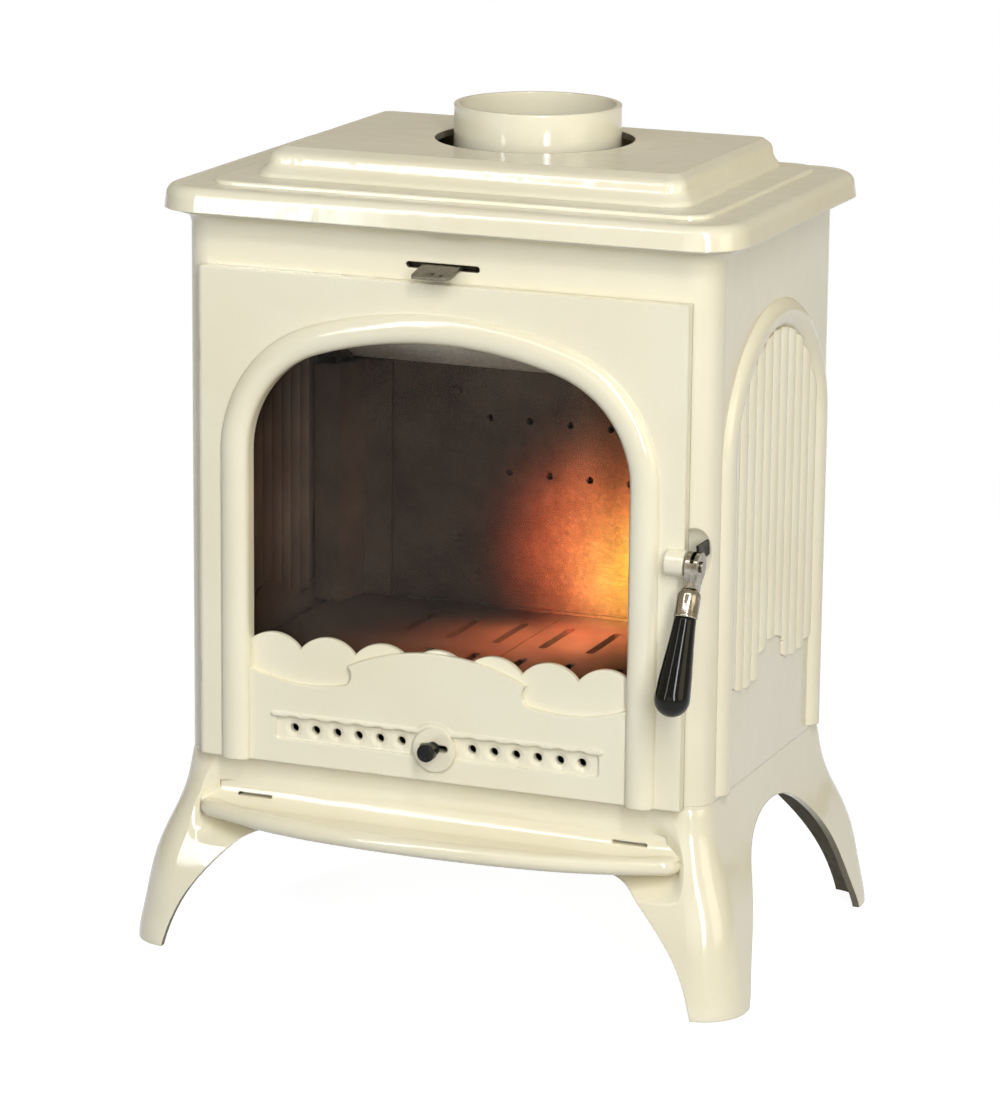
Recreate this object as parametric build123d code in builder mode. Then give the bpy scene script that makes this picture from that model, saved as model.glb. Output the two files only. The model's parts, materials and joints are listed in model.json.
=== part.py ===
from build123d import *
from math import atan2, cos, pi, radians, sin, sqrt
import os

os.makedirs("parts", exist_ok=True)

# Cast iron wood stove, millimetres. +Z is up, +X is the viewer's right, the door faces -Y,
# and the origin is on the floor, under the middle of the whole stove.

# Overall castings
base_height = 177.4
body_width = 493.8
body_depth = 326.3
body_height = 487.4
body_corner = 25.0
panel_wall = 6.5
frame_wall = 7.0
door_gap = 0.3
door_thickness = 10.4

# Splayed legs: how far the corners stand out at each tenth of the base's height
leg_flare = [
    (0.0, 42.1),
    (0.17, 37.8),
    (0.34, 32.5),
    (0.51, 24.9),
    (0.68, 13.1),
    (0.85, 4.2),
    (0.985, 0.0),
]
leg_corner = 40.0
leg_wall = 6.5
base_flange = 16.0
base_flange_thickness = 6.0
bottom_plate_thickness = 6.0
plate_clearance = 0.4

# Tie rods through the four corners
rod_radius = 3.0
rod_clearance = 0.4
rod_inset = 17.0
rod_front_inset = 35.0
rod_back_inset = 26.0

# Door, and the opening in the front frame behind it
door_side_gap = 19.0
door_half_width = body_width / 2 - door_side_gap
door_bottom = 175.6
door_top = 617.3
opening_half_width = door_half_width - 30.9
opening_sill = 187.0
opening_head = 598.0

# Handle on the door's right edge
handle_lean = 25.0
handle_x = door_half_width + 11.1
handle_pivot_out = 6.5
handle_pivot_z = 395.8
handle_length = 130.0
grip_end_radius = 15.5

# Places along the depth, all from the door's front face
flare_reach = leg_flare[0][1]
grip_ball = handle_length - grip_end_radius
grip_reach = handle_pivot_out + grip_ball * sin(radians(handle_lean)) + grip_end_radius
door_face = (grip_reach - door_thickness - door_gap - body_depth - flare_reach) / 2
door_back = door_face + door_thickness
body_front = door_back + door_gap
body_back = body_front + body_depth
body_middle = (body_front + body_back) / 2
frame_inside = body_front + frame_wall
body_top = base_height + body_height
half_body = body_width / 2
side_inside = half_body - panel_wall
back_inside = body_back - panel_wall
rod_x = half_body - rod_inset
rod_front = body_front + rod_front_inset
rod_back = body_back - rod_back_inset
rod_places = [(side * rod_x, depth) for side in (-1, 1) for depth in (rod_front, rod_back)]
hinge_x = door_thickness / 2 - door_half_width
hinge_y = door_face + door_thickness / 2


def basket_arch(half_width, foot, spring, corner, apex):
    """Corner and crown points of an arch of three tangent arcs on two upright sides."""
    rise = apex - spring
    reach = half_width - corner
    crown = (reach**2 + rise**2 - corner**2) / (2 * (rise - corner))
    lean = atan2(reach, crown - rise)
    half_turn = (pi / 2 - lean) / 2
    middle = (reach + corner * cos(half_turn), spring + corner * sin(half_turn))
    joint = (reach + corner * sin(lean), spring + corner * cos(lean))
    return (half_width, foot), (half_width, spring), middle, joint, (0, apex)


def arch_lines(half_width, foot, spring, corner, apex, shift=0.0):
    """Draws the open arch from its left foot to its right foot in the line being built."""
    low, side, middle, joint, top = basket_arch(half_width, foot, spring, corner, apex)
    Line((shift - low[0], low[1]), (shift - side[0], side[1]))
    ThreePointArc((shift - side[0], side[1]), (shift - middle[0], middle[1]), (shift - joint[0], joint[1]))
    ThreePointArc((shift - joint[0], joint[1]), (shift, top[1]), (shift + joint[0], joint[1]))
    ThreePointArc((shift + joint[0], joint[1]), (shift + middle[0], middle[1]), (shift + side[0], side[1]))
    Line((shift + side[0], side[1]), (shift + low[0], low[1]))


def front_plane(y):
    """A drawing plane that faces the viewer: its x is the stove's X and its y is the stove's Z."""
    return Plane(origin=(0, y, 0), x_dir=(1, 0, 0), z_dir=(0, -1, 0))


def side_plane(x):
    """A drawing plane square to X: its x is the stove's Y and its y is the stove's Z."""
    return Plane(origin=(x, 0, 0), x_dir=(0, 1, 0), z_dir=(1, 0, 0))


def save(piece, name):
    piece.label = name
    export_step(piece, f"parts/{name}.step")
    print(name, len(piece.solids()), round(piece.volume))


# Base: one casting with skirt, four splayed legs, arches between them and the ash ledge
front_arch_foot = half_body + 5.1
front_arch_steps = [(0.0, 0.0), (17.0, 45.0), (52.0, 89.0), (112.0, 113.0)]
side_arch_half = 155.0
side_arch_steps = [(0.0, 0.0), (29.0, 54.0), (77.0, 117.0), (155.0, 144.0)]
apron_setback = 3.0
apron_wall = 7.0
apron_fade_low = 91.0
apron_fade_high = 125.0
apron_step = 6.0
apron_low_half = half_body - 33.9
apron_high_half = half_body - 68.9
blend_low_half = half_body - 6.9
blend_high_half = half_body - 16.9
blend_clearance = 1.0
ledge_edge = [(0, 46), (80, 42.5), (150, 31.5), (190, 19), (212, 11), (224, 4), (228, -6), (227, -26)]
ledge_underside = 118.0
ledge_rim_top = 133.2
ledge_nose_radius = 7.0
ledge_floor = 130.5
ledge_cove = 16.0
ledge_dish_edge = [(0, 34), (80, 30), (150, 19), (188, 7), (205, -1), (212, -9), (213, -16)]
vent_length = 33.0
vent_width = 3.0
vent_x = 178.5
vent_z = 138.5


def flare_at(height):
    """How far the base's corners stand out at a height, between the levels of leg_flare."""
    levels = [(share * base_height, splay) for share, splay in leg_flare]
    for (low, wide), (high, narrow) in zip(levels, levels[1:]):
        if low <= height <= high:
            return wide + (narrow - wide) * (height - low) / (high - low)
    return 0.0


def ease(height, low, high):
    """Rises smoothly from 0 at low to 1 at high."""
    share = min(max((height - low) / (high - low), 0.0), 1.0)
    return (1 - cos(pi * share)) / 2


def leg_section(share, splay, inset):
    """One level of the base's outline, drawn in by inset."""
    corner = leg_corner + (body_corner - leg_corner) * share
    with BuildSketch(Plane.XY.offset(base_height * share)) as level:
        with Locations((0, body_middle)):
            RectangleRounded(
                body_width + 2 * (splay - inset),
                body_depth + 2 * (splay - inset),
                corner - inset,
            )
    return level.sketch


def before_apron(height, wall):
    """One level of the space before the apron, moved back by wall for the inside."""
    leg_y = body_front - flare_at(height) - blend_clearance + wall
    flat_y = body_front + apron_setback + wall
    flat_y = leg_y + (flat_y - leg_y) * ease(height, apron_fade_low, apron_fade_high)
    rise = ease(height, apron_fade_high, base_height)
    flat_half = apron_low_half + (apron_high_half - apron_low_half) * rise
    blend_half = blend_low_half + (blend_high_half - blend_low_half) * rise
    clear_y = body_front - 2 * flare_reach
    with BuildSketch(Plane.XY.offset(height)) as level:
        with BuildLine():
            Spline((-blend_half, leg_y), (-flat_half, flat_y), tangents=((1, 0), (1, 0)))
            Line((-flat_half, flat_y), (flat_half, flat_y))
            Spline((flat_half, flat_y), (blend_half, leg_y), tangents=((1, 0), (1, 0)))
            Polyline((blend_half, leg_y), (blend_half, clear_y), (-blend_half, clear_y), (-blend_half, leg_y))
        make_face()
    return level.sketch


def base_body(inset, wall):
    """The base as a solid lump with the apron cut into its front, its faces drawn in by inset."""
    level_count = round((base_height - apron_fade_low) / apron_step) + 1
    with BuildPart() as lump:
        loft([leg_section(share, splay, inset) for share, splay in leg_flare])
        with BuildSketch(Plane.XY.offset(base_height * leg_flare[-1][0])):
            with Locations((0, body_middle)):
                RectangleRounded(body_width - 2 * inset, body_depth - 2 * inset, body_corner - inset)
        extrude(amount=base_height * (1 - leg_flare[-1][0]))
        loft(
            [before_apron(apron_fade_low + apron_step * index, wall) for index in range(level_count + 1)],
            mode=Mode.SUBTRACT,
        )
    return lump.part


def arch_steps(steps, foot, middle):
    """Points up to the crown of an arch, on its right and on its left: each step goes in from the foot."""
    right = [(middle + foot - step_in, height) for step_in, height in steps]
    left = [(middle - foot + step_in, height) for step_in, height in steps]
    return right, left


def bowed_edge(steps):
    """Points of a bowed edge from left to right, each step out from the middle and forward of the door."""
    right = [(out, door_face - forward) for out, forward in steps]
    left = [(-out, depth) for out, depth in reversed(right[1:])]
    return left + right


# Bowed ash ledge: a rounded rim, and a dished floor that rises to the apron
with BuildPart() as ash_ledge:
    with BuildSketch(Plane.XY.offset(ledge_underside)):
        with BuildLine():
            rim = bowed_edge(ledge_edge)
            Spline(*rim)
            Line(rim[-1], rim[0])
        make_face()
    extrude(amount=ledge_rim_top - ledge_underside)
    rim_edges = ash_ledge.edges().filter_by(GeomType.LINE, reverse=True)
    fillet(rim_edges, ledge_nose_radius)

with BuildPart() as ledge_cover:
    with BuildSketch(side_plane(0)):
        with BuildLine():
            cove_back = body_front + apron_setback
            cove_bend = ledge_cove * (1 - sqrt(0.5))
            ThreePointArc(
                (cove_back - ledge_cove, ledge_floor),
                (cove_back - cove_bend, ledge_floor + cove_bend),
                (cove_back, ledge_floor + ledge_cove),
            )
            Polyline(
                (cove_back, ledge_floor + ledge_cove),
                (cove_back, ledge_rim_top + ledge_cove),
                (cove_back - 2 * flare_reach, ledge_rim_top + ledge_cove),
                (cove_back - 2 * flare_reach, ledge_floor),
                (cove_back - ledge_cove, ledge_floor),
            )
        make_face()
    extrude(amount=half_body, both=True)

with BuildPart() as ledge_dish:
    with BuildSketch(Plane.XY.offset(ledge_underside)):
        with BuildLine():
            dish = bowed_edge(ledge_dish_edge)
            Spline(*dish)
            Line(dish[-1], dish[0])
        make_face()
    extrude(amount=ledge_cove + ledge_rim_top)
    add(ledge_cover.part, mode=Mode.INTERSECT)

with BuildPart() as ledge_rise:
    with BuildSketch(Plane.XY.offset(ledge_floor)):
        with BuildLine():
            rim = bowed_edge(ledge_edge)
            Spline(*rim)
            Line(rim[-1], rim[0])
        make_face()
    extrude(amount=ledge_cove)
    add(ledge_cover.part, mode=Mode.SUBTRACT)

with BuildPart() as leg_base:
    add(base_body(0, 0))
    add(ash_ledge.part)
    add(ledge_dish.part, mode=Mode.SUBTRACT)
    add(ledge_rise.part)
    add(base_body(leg_wall, apron_wall), mode=Mode.SUBTRACT)
    # Seat of the bottom plate, and the ring that carries it and the panels
    with BuildSketch(Plane.XY.offset(base_height)):
        with Locations((0, body_middle)):
            RectangleRounded(body_width - 2 * leg_wall, body_depth - 2 * leg_wall, body_corner - leg_wall)
    extrude(amount=-bottom_plate_thickness, mode=Mode.SUBTRACT)
    with BuildSketch(Plane.XY.offset(base_height - bottom_plate_thickness)):
        with Locations((0, body_middle)):
            RectangleRounded(body_width - leg_wall, body_depth - leg_wall, body_corner - leg_wall / 2)
            RectangleRounded(
                body_width - 2 * (leg_wall + base_flange),
                body_depth - 2 * (leg_wall + base_flange),
                body_corner / 2,
                mode=Mode.SUBTRACT,
            )
    extrude(amount=-base_flange_thickness)
    # Arches between the legs
    right, left = arch_steps(front_arch_steps, front_arch_foot, 0)
    with BuildSketch(front_plane(body_middle)):
        with BuildLine():
            Line(left[0], right[0])
            Spline(*right, tangents=((-0.25, 1), (-1, 0)))
            Line(right[-1], left[-1])
            Spline(*left, tangents=((0.25, 1), (1, 0)))
        make_face()
    extrude(amount=body_depth, both=True, mode=Mode.SUBTRACT)
    right, left = arch_steps(side_arch_steps, side_arch_half, body_middle)
    with BuildSketch(side_plane(0)):
        with BuildLine():
            Line(left[0], right[0])
            Spline(*right, *reversed(left[:-1]), tangents=((-0.5, 1), (-0.5, -1)))
        make_face()
    extrude(amount=body_width, both=True, mode=Mode.SUBTRACT)
    # Air slots at the apron's foot
    with BuildSketch(front_plane(body_front)):
        with Locations((-vent_x, vent_z), (vent_x, vent_z)):
            SlotOverall(vent_length, vent_width)
    extrude(amount=2 * apron_wall, both=True, mode=Mode.SUBTRACT)
    # Holes for the tie rods
    with BuildSketch(Plane.XY.offset(base_height)):
        with Locations(*rod_places):
            Circle(rod_radius + rod_clearance)
    extrude(amount=-2 * bottom_plate_thickness - base_flange_thickness, mode=Mode.SUBTRACT)

save(leg_base.part, "leg_base")

# Floor of the ash compartment, on the base's ring
with BuildPart() as bottom_plate:
    with BuildSketch(Plane.XY.offset(base_height)):
        with Locations((0, body_middle)):
            RectangleRounded(
                body_width - 2 * (leg_wall + plate_clearance),
                body_depth - 2 * (leg_wall + plate_clearance),
                body_corner - leg_wall,
            )
        with Locations(*rod_places):
            Circle(rod_radius + rod_clearance, mode=Mode.SUBTRACT)
    extrude(amount=-bottom_plate_thickness)

save(bottom_plate.part, "bottom_plate")

# Moulding under the top plate: a cove with a bead over it
cove_reach = 10.8
cove_bead = 3.7
cove_bead_bulge = 1.8
seam_return = 27.0
seam_y = body_front + seam_return


def moulding_profile(plane):
    """Section of the moulding, its origin on the panel's top outer edge."""
    turn = cove_reach * (1 - sqrt(0.5))
    with BuildSketch(plane) as section:
        with BuildLine():
            ThreePointArc(
                (0, -cove_reach - cove_bead),
                (turn, -cove_bead - turn),
                (cove_reach, -cove_bead),
            )
            ThreePointArc(
                (cove_reach, -cove_bead),
                (cove_reach + cove_bead_bulge, -cove_bead / 2),
                (cove_reach, 0),
            )
            Polyline(
                (cove_reach, 0),
                (-panel_wall / 2, 0),
                (-panel_wall / 2, -cove_reach - cove_bead),
                (0, -cove_reach - cove_bead),
            )
        make_face()
    return section.sketch


# Side panels: an arched bead, flutes inside the arch, an ogee field under them
side_arch_middle = body_middle
side_bead_width = 26.0
side_bead_height = 8.0
side_field_half = 110.0
side_spring = 470.0
side_field_corner = 78.0
side_field_apex = 569.0
side_bead_foot = base_height + 4.0
flute_count = 11
flute_pitch = 20.6
flute_width = 18.6
flute_rise = 4.0
flute_foot = 273.0
ogee_dip = 262.0
ogee_hook = 280.0
ogee_peak = 291.5
ogee_brow_half = 34.0
hook_out = 2.0
hook_in = 3.5
hook_step = 4.0
grate_ledge_top = 238.0
grate_bar_height = 8.0
grate_thickness = 6.0
grate_ledge_width = 10.0
top_ledge_height = 646.0
ledge_thickness = 7.0
ledge_end_inset = 55.0


def ogee_lines(half_width, edge_height, dip_height, hook_height, peak_height, brow_half, middle=0.0):
    """Bracket-shaped line from left to right: a raised brow between two hooked dips."""
    hook_foot = dip_height + hook_step
    for side in (-1, 1):
        ThreePointArc(
            (middle + side * half_width, edge_height),
            (middle + side * (half_width + brow_half) / 2, dip_height),
            (middle + side * (brow_half + hook_out), hook_foot),
        )
        ThreePointArc(
            (middle + side * (brow_half + hook_out), hook_foot),
            (middle + side * (brow_half - hook_in), (hook_foot + hook_height) / 2),
            (middle + side * brow_half, hook_height),
        )
    ThreePointArc(
        (middle - brow_half, hook_height),
        (middle, peak_height),
        (middle + brow_half, hook_height),
    )


with BuildPart() as side_panel_right:
    with BuildSketch(Plane.XY.offset(base_height)):
        with Locations((0, body_middle)):
            RectangleRounded(body_width, body_depth, body_corner)
            RectangleRounded(
                body_width - 2 * panel_wall,
                body_depth - 2 * panel_wall,
                body_corner - panel_wall,
                mode=Mode.SUBTRACT,
            )
        with Locations((half_body - body_corner, seam_y)):
            Rectangle(body_width, body_depth, align=(Align.MIN, Align.MIN), mode=Mode.INTERSECT)
    extrude(amount=body_height)
    # Moulding along the top
    with BuildLine() as moulding_path:
        Line((half_body, seam_y, body_top), (half_body, body_back - body_corner, body_top))
        RadiusArc(
            (half_body, body_back - body_corner, body_top),
            (half_body - body_corner, body_back, body_top),
            -body_corner,
        )
    sweep(
        moulding_profile(Plane(origin=(half_body, seam_y, body_top), x_dir=(1, 0, 0), z_dir=(0, -1, 0))),
        path=moulding_path.line,
    )
    # Arched bead
    with BuildLine(side_plane(half_body)) as bead_path:
        arch_lines(
            side_field_half + side_bead_width / 2,
            side_bead_foot,
            side_spring,
            side_field_corner + side_bead_width / 2,
            side_field_apex + side_bead_width / 2,
            side_arch_middle,
        )
    bead_start = (half_body, side_arch_middle - side_field_half - side_bead_width / 2, side_bead_foot)
    with BuildSketch(Plane(origin=bead_start, x_dir=(0, 1, 0), z_dir=(0, 0, 1))):
        with BuildLine():
            ThreePointArc((-side_bead_width / 2, 0), (0, -side_bead_height), (side_bead_width / 2, 0))
            Polyline(
                (side_bead_width / 2, 0),
                (side_bead_width / 2, panel_wall / 2),
                (-side_bead_width / 2, panel_wall / 2),
                (-side_bead_width / 2, 0),
            )
        make_face()
    sweep(path=bead_path.line)
    # Ledges inside that carry the grate and the inner top
    for ledge_top in (grate_ledge_top, top_ledge_height):
        with BuildSketch(Plane.XY.offset(ledge_top)):
            with Locations((side_inside, body_middle)):
                Rectangle(
                    grate_ledge_width,
                    body_depth - 2 * ledge_end_inset,
                    align=(Align.MAX, Align.CENTER),
                )
        extrude(amount=-ledge_thickness)

with BuildPart() as flutes:
    with BuildSketch(Plane.XY.offset(base_height)):
        for index in range(flute_count):
            flute_middle = side_arch_middle + (index - (flute_count - 1) / 2) * flute_pitch
            with BuildLine():
                ThreePointArc(
                    (half_body, flute_middle - flute_width / 2),
                    (half_body + flute_rise, flute_middle),
                    (half_body, flute_middle + flute_width / 2),
                )
                Polyline(
                    (half_body, flute_middle + flute_width / 2),
                    (half_body - panel_wall / 2, flute_middle + flute_width / 2),
                    (half_body - panel_wall / 2, flute_middle - flute_width / 2),
                    (half_body, flute_middle - flute_width / 2),
                )
            make_face()
    extrude(amount=body_height - 2 * cove_reach)
    with BuildSketch(side_plane(half_body - panel_wall)):
        with BuildLine():
            arch_lines(
                side_field_half,
                flute_foot,
                side_spring,
                side_field_corner,
                side_field_apex,
                side_arch_middle,
            )
            ogee_lines(
                side_field_half,
                flute_foot,
                ogee_dip,
                ogee_hook,
                ogee_peak,
                ogee_brow_half,
                side_arch_middle,
            )
        make_face()
    extrude(amount=2 * panel_wall, mode=Mode.INTERSECT)

with BuildPart() as side_panel_right_whole:
    add(side_panel_right.part)
    add(flutes.part)
    # The same flutes as hollows on the inside, so that the wall keeps its thickness
    add(flutes.part.moved(Location((-panel_wall, 0, 0))), mode=Mode.SUBTRACT)

save(side_panel_right_whole.part, "side_panel_right")

with BuildPart() as side_panel_left:
    add(mirror(side_panel_right_whole.part, about=Plane.YZ))

save(side_panel_left.part, "side_panel_left")

# Catch: a steel blade in the hollow behind the handle, held by one screw from inside
hollow_radius = 33.0
hollow_x = half_body - 6.9
hollow_z = 400.0
hollow_centre_out = 8.0
hollow_wall = 6.0
catch_left = half_body - 7.3
catch_thickness = 2.2
catch_bottom = 399.8
catch_top = 413.0
catch_front = door_face - 3.0
catch_back = body_front + 26.5
catch_corner = 3.0
catch_screw_radius = 1.5
catch_screw_head_radius = 3.3
catch_screw_head_height = 2.6
catch_screw_cover = 1.0
catch_screw_depth = 4.4
catch_screw_y = catch_back - 5.0
catch_screw_z = (catch_bottom + catch_top) / 2
catch_screw_seat = catch_left - catch_screw_cover

with BuildPart() as catch_screw:
    with BuildSketch(side_plane(catch_screw_seat)):
        with Locations((catch_screw_y, catch_screw_z)):
            Circle(catch_screw_radius)
    extrude(amount=catch_screw_cover + catch_screw_depth)
    with BuildSketch(side_plane(catch_screw_seat)):
        with Locations((catch_screw_y, catch_screw_z)):
            Circle(catch_screw_head_radius)
    extrude(amount=-catch_screw_head_height)

with BuildPart() as catch_plate:
    with BuildSketch(side_plane(catch_left)) as catch_outline:
        with Locations((catch_front, catch_bottom)):
            Rectangle(
                catch_back - catch_front,
                catch_top - catch_bottom,
                align=(Align.MIN, Align.MIN),
            )
        fillet(catch_outline.vertices().group_by(Axis.Y)[0], catch_corner)
    extrude(amount=catch_thickness)

# Front frame: door opening, frieze with its slot, hinge lugs and the hollow behind the handle
opening_corner = 6.0
frieze_slot_half = 34.3
frieze_slot_height = 5.7
frieze_slot_z = 631.0
hinge_inset = 75.0
hinge_heights = (door_bottom + hinge_inset, door_top - hinge_inset)
pin_radius = 1.75
pin_clearance = 0.05
pin_grip = 8.0
lug_radius = 3.2
lug_height = 19.4
lug_play = 0.3
lug_left = 1.0
lug_right = 8.0

with BuildPart() as hollow_boss:
    with Locations((hollow_x, door_face - hollow_centre_out, hollow_z)):
        Sphere(hollow_radius + hollow_wall)
    with BuildSketch(Plane.XY.offset(base_height)):
        with Locations((0, body_middle)):
            RectangleRounded(body_width - panel_wall, body_depth - panel_wall, body_corner - panel_wall / 2)
    extrude(amount=body_height, mode=Mode.INTERSECT)

with BuildPart() as front_frame:
    with BuildSketch(Plane.XY.offset(base_height)):
        with Locations((0, body_middle)):
            RectangleRounded(body_width, body_depth, body_corner)
            RectangleRounded(
                body_width - 2 * panel_wall,
                body_depth - 2 * frame_wall,
                body_corner - frame_wall,
                mode=Mode.SUBTRACT,
            )
        with Locations((0, seam_y)):
            Rectangle(body_width, body_depth, align=(Align.CENTER, Align.MAX), mode=Mode.INTERSECT)
    extrude(amount=body_height)
    with BuildLine(Plane.XY.offset(body_top)) as frame_path:
        FilletPolyline(
            (-half_body, seam_y),
            (-half_body, body_front),
            (half_body, body_front),
            (half_body, seam_y),
            radius=body_corner,
        )
    sweep(
        moulding_profile(Plane(origin=(-half_body, seam_y, body_top), x_dir=(-1, 0, 0), z_dir=(0, 1, 0))),
        path=frame_path.line,
    )
    add(hollow_boss.part)
    with Locations((hollow_x, door_face - hollow_centre_out, hollow_z)):
        Sphere(hollow_radius, mode=Mode.SUBTRACT)
    with BuildSketch(front_plane(body_front)):
        with Locations((0, (opening_sill + opening_head) / 2)):
            RectangleRounded(2 * opening_half_width, opening_head - opening_sill, opening_corner)
        with Locations((0, frieze_slot_z)):
            SlotOverall(2 * frieze_slot_half, frieze_slot_height)
    extrude(amount=-2 * frame_wall, mode=Mode.SUBTRACT)
    # Hinge lugs, each with a bore for its pin
    for height in hinge_heights:
        with BuildSketch(Plane.XY.offset(height - lug_height / 2)):
            with Locations((hinge_x, hinge_y)):
                Circle(lug_radius)
            with Locations((hinge_x - lug_left, hinge_y)):
                Rectangle(
                    lug_left + lug_right,
                    body_front - hinge_y + frame_wall / 2,
                    align=(Align.MIN, Align.MIN),
                )
            with Locations((hinge_x, hinge_y)):
                Circle(pin_radius + pin_clearance, mode=Mode.SUBTRACT)
        extrude(amount=lug_height)
    # Seat for the catch and its screw
    add(catch_plate.part, mode=Mode.SUBTRACT)
    add(catch_screw.part, mode=Mode.SUBTRACT)
    with BuildSketch(side_plane(catch_screw_seat)):
        with Locations((catch_screw_y, catch_screw_z)):
            Circle(catch_screw_head_radius + plate_clearance)
    extrude(amount=-2 * panel_wall, mode=Mode.SUBTRACT)

with BuildPart() as catch_plate_bored:
    add(catch_plate.part)
    add(catch_screw.part, mode=Mode.SUBTRACT)

save(front_frame.part, "front_frame")
save(catch_plate_bored.part, "catch_plate")
save(catch_screw.part, "catch_screw")

for height, pin_name in zip(hinge_heights, ("hinge_pin_lower", "hinge_pin_upper")):
    with BuildPart() as hinge_pin:
        with BuildSketch(Plane.XY.offset(height - lug_height / 2 - lug_play - pin_grip)):
            with Locations((hinge_x, hinge_y)):
                Circle(pin_radius)
        extrude(amount=lug_height + 2 * (lug_play + pin_grip))
    save(hinge_pin.part, pin_name)

# Back panel between the side panels, with bosses that stand the back plate of the fire off
back_clearance = 0.4
back_half_width = half_body - body_corner - back_clearance
fireback_thickness = 7.5
fireback_gap = 4.0
fireback_half_width = side_inside - 62.4
fireback_foot = 252.0
fireback_head = 492.0
fireback_screw_x = 113.0
fireback_screw_low = 316.0
fireback_screw_high = 455.0
fireback_screw_radius = 2.5
fireback_screw_head = 5.0
fireback_screw_head_height = 3.5
fireback_boss_radius = 8.0
fireback_back = back_inside - fireback_gap
fireback_front = fireback_back - fireback_thickness
fireback_screw_places = [
    (side * fireback_screw_x, height)
    for side in (-1, 1)
    for height in (fireback_screw_low, fireback_screw_high)
]

with BuildPart() as back_panel:
    with BuildSketch(Plane.XY.offset(base_height)):
        with Locations((0, body_back)):
            Rectangle(2 * back_half_width, panel_wall, align=(Align.CENTER, Align.MAX))
    extrude(amount=body_height)
    extrude(
        moulding_profile(
            Plane(origin=(-back_half_width, body_back, body_top), x_dir=(0, 1, 0), z_dir=(1, 0, 0))
        ),
        amount=2 * back_half_width,
    )
    with BuildSketch(front_plane(back_inside)):
        with Locations(*fireback_screw_places):
            Circle(fireback_boss_radius)
    extrude(amount=fireback_gap)
    with BuildSketch(front_plane(fireback_back)):
        with Locations(*fireback_screw_places):
            Circle(fireback_screw_radius)
    extrude(amount=-fireback_gap - panel_wall / 2, mode=Mode.SUBTRACT)

save(back_panel.part, "back_panel")

air_hole_radius = 3.5
air_hole_pitch = 40.0
air_row_low = 382.0
air_row_high = 432.0
air_row_low_count = 4
air_row_high_count = 5

with BuildPart() as fireback:
    with BuildSketch(front_plane(fireback_back)):
        with Locations((0, (fireback_foot + fireback_head) / 2)):
            Rectangle(2 * fireback_half_width, fireback_head - fireback_foot)
        with Locations((0, air_row_low)):
            with GridLocations(air_hole_pitch, 1, air_row_low_count, 1):
                Circle(air_hole_radius, mode=Mode.SUBTRACT)
        with Locations((0, air_row_high)):
            with GridLocations(air_hole_pitch, 1, air_row_high_count, 1):
                Circle(air_hole_radius, mode=Mode.SUBTRACT)
        with Locations(*fireback_screw_places):
            Circle(fireback_screw_radius, mode=Mode.SUBTRACT)
    extrude(amount=fireback_thickness)

save(fireback.part, "fireback")

with BuildPart() as fireback_screws:
    with BuildSketch(front_plane(fireback_front)):
        with Locations(*fireback_screw_places):
            Circle(fireback_screw_head)
    extrude(amount=fireback_screw_head_height)
    with BuildSketch(front_plane(fireback_front)):
        with Locations(*fireback_screw_places):
            Circle(fireback_screw_radius)
    extrude(amount=-fireback_thickness - fireback_gap - panel_wall / 2)

save(fireback_screws.part, "fireback_screws")

# Top plate: bullnose edge, low step, and a raised panel with an ogee edge and the flue hole
top_half_width = half_body + 23.1
top_front = body_front - 22.0
top_back = body_back + 20.0
top_corner = 45.0
top_draft = 1.7
top_edge_upright = 12.0
top_edge_inset = 15.0
top_flat = 20.4
top_core_inset = 30.0
top_core_lap = 1.0
step_side_inset = 38.3
step_front_inset = 35.3
step_back_inset = 22.0
step_height = 3.6
step_corner = 26.0
step_round = 3.0
panel_half_width = top_half_width - 88.0
panel_front = body_front + 77.5
panel_back = body_back - 23.0
panel_rise = 48.2
panel_side_run = 24.9
panel_front_run = 40.0
panel_back_run = 13.0
panel_ogee = [(0, 0), (0.2, 0.04), (0.36, 0.13), (0.48, 0.27), (0.53, 0.5), (0.62, 0.7), (0.79, 0.9), (1, 1)]
panel_drop = panel_rise - top_flat - step_height
panel_corner = 5.0
panel_corner_growth = 22.0
flue_hole_radius = 89.0
flue_hole_y = body_back - 115.0
top_hollow_inset = 38.0
top_hollow_height = 15.0
panel_hollow_inset = 6.0
panel_hollow_roof = 6.0


def ogee_section(share, height):
    """One level of the raised panel, at a share of its run outward."""
    front = panel_front - share * panel_front_run
    back = panel_back + share * panel_back_run
    with BuildSketch(Plane.XY.offset(height)) as level:
        with Locations((0, (front + back) / 2)):
            RectangleRounded(
                2 * (panel_half_width + share * panel_side_run),
                back - front,
                panel_corner + share * panel_corner_growth,
            )
    return level.sketch


with BuildPart() as raised_panel:
    loft([ogee_section(share, body_top + panel_rise - fall * panel_drop) for share, fall in panel_ogee[::-1]])
    extrude(ogee_section(1, body_top + top_flat / 2), amount=top_flat / 2 + step_height)

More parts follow.
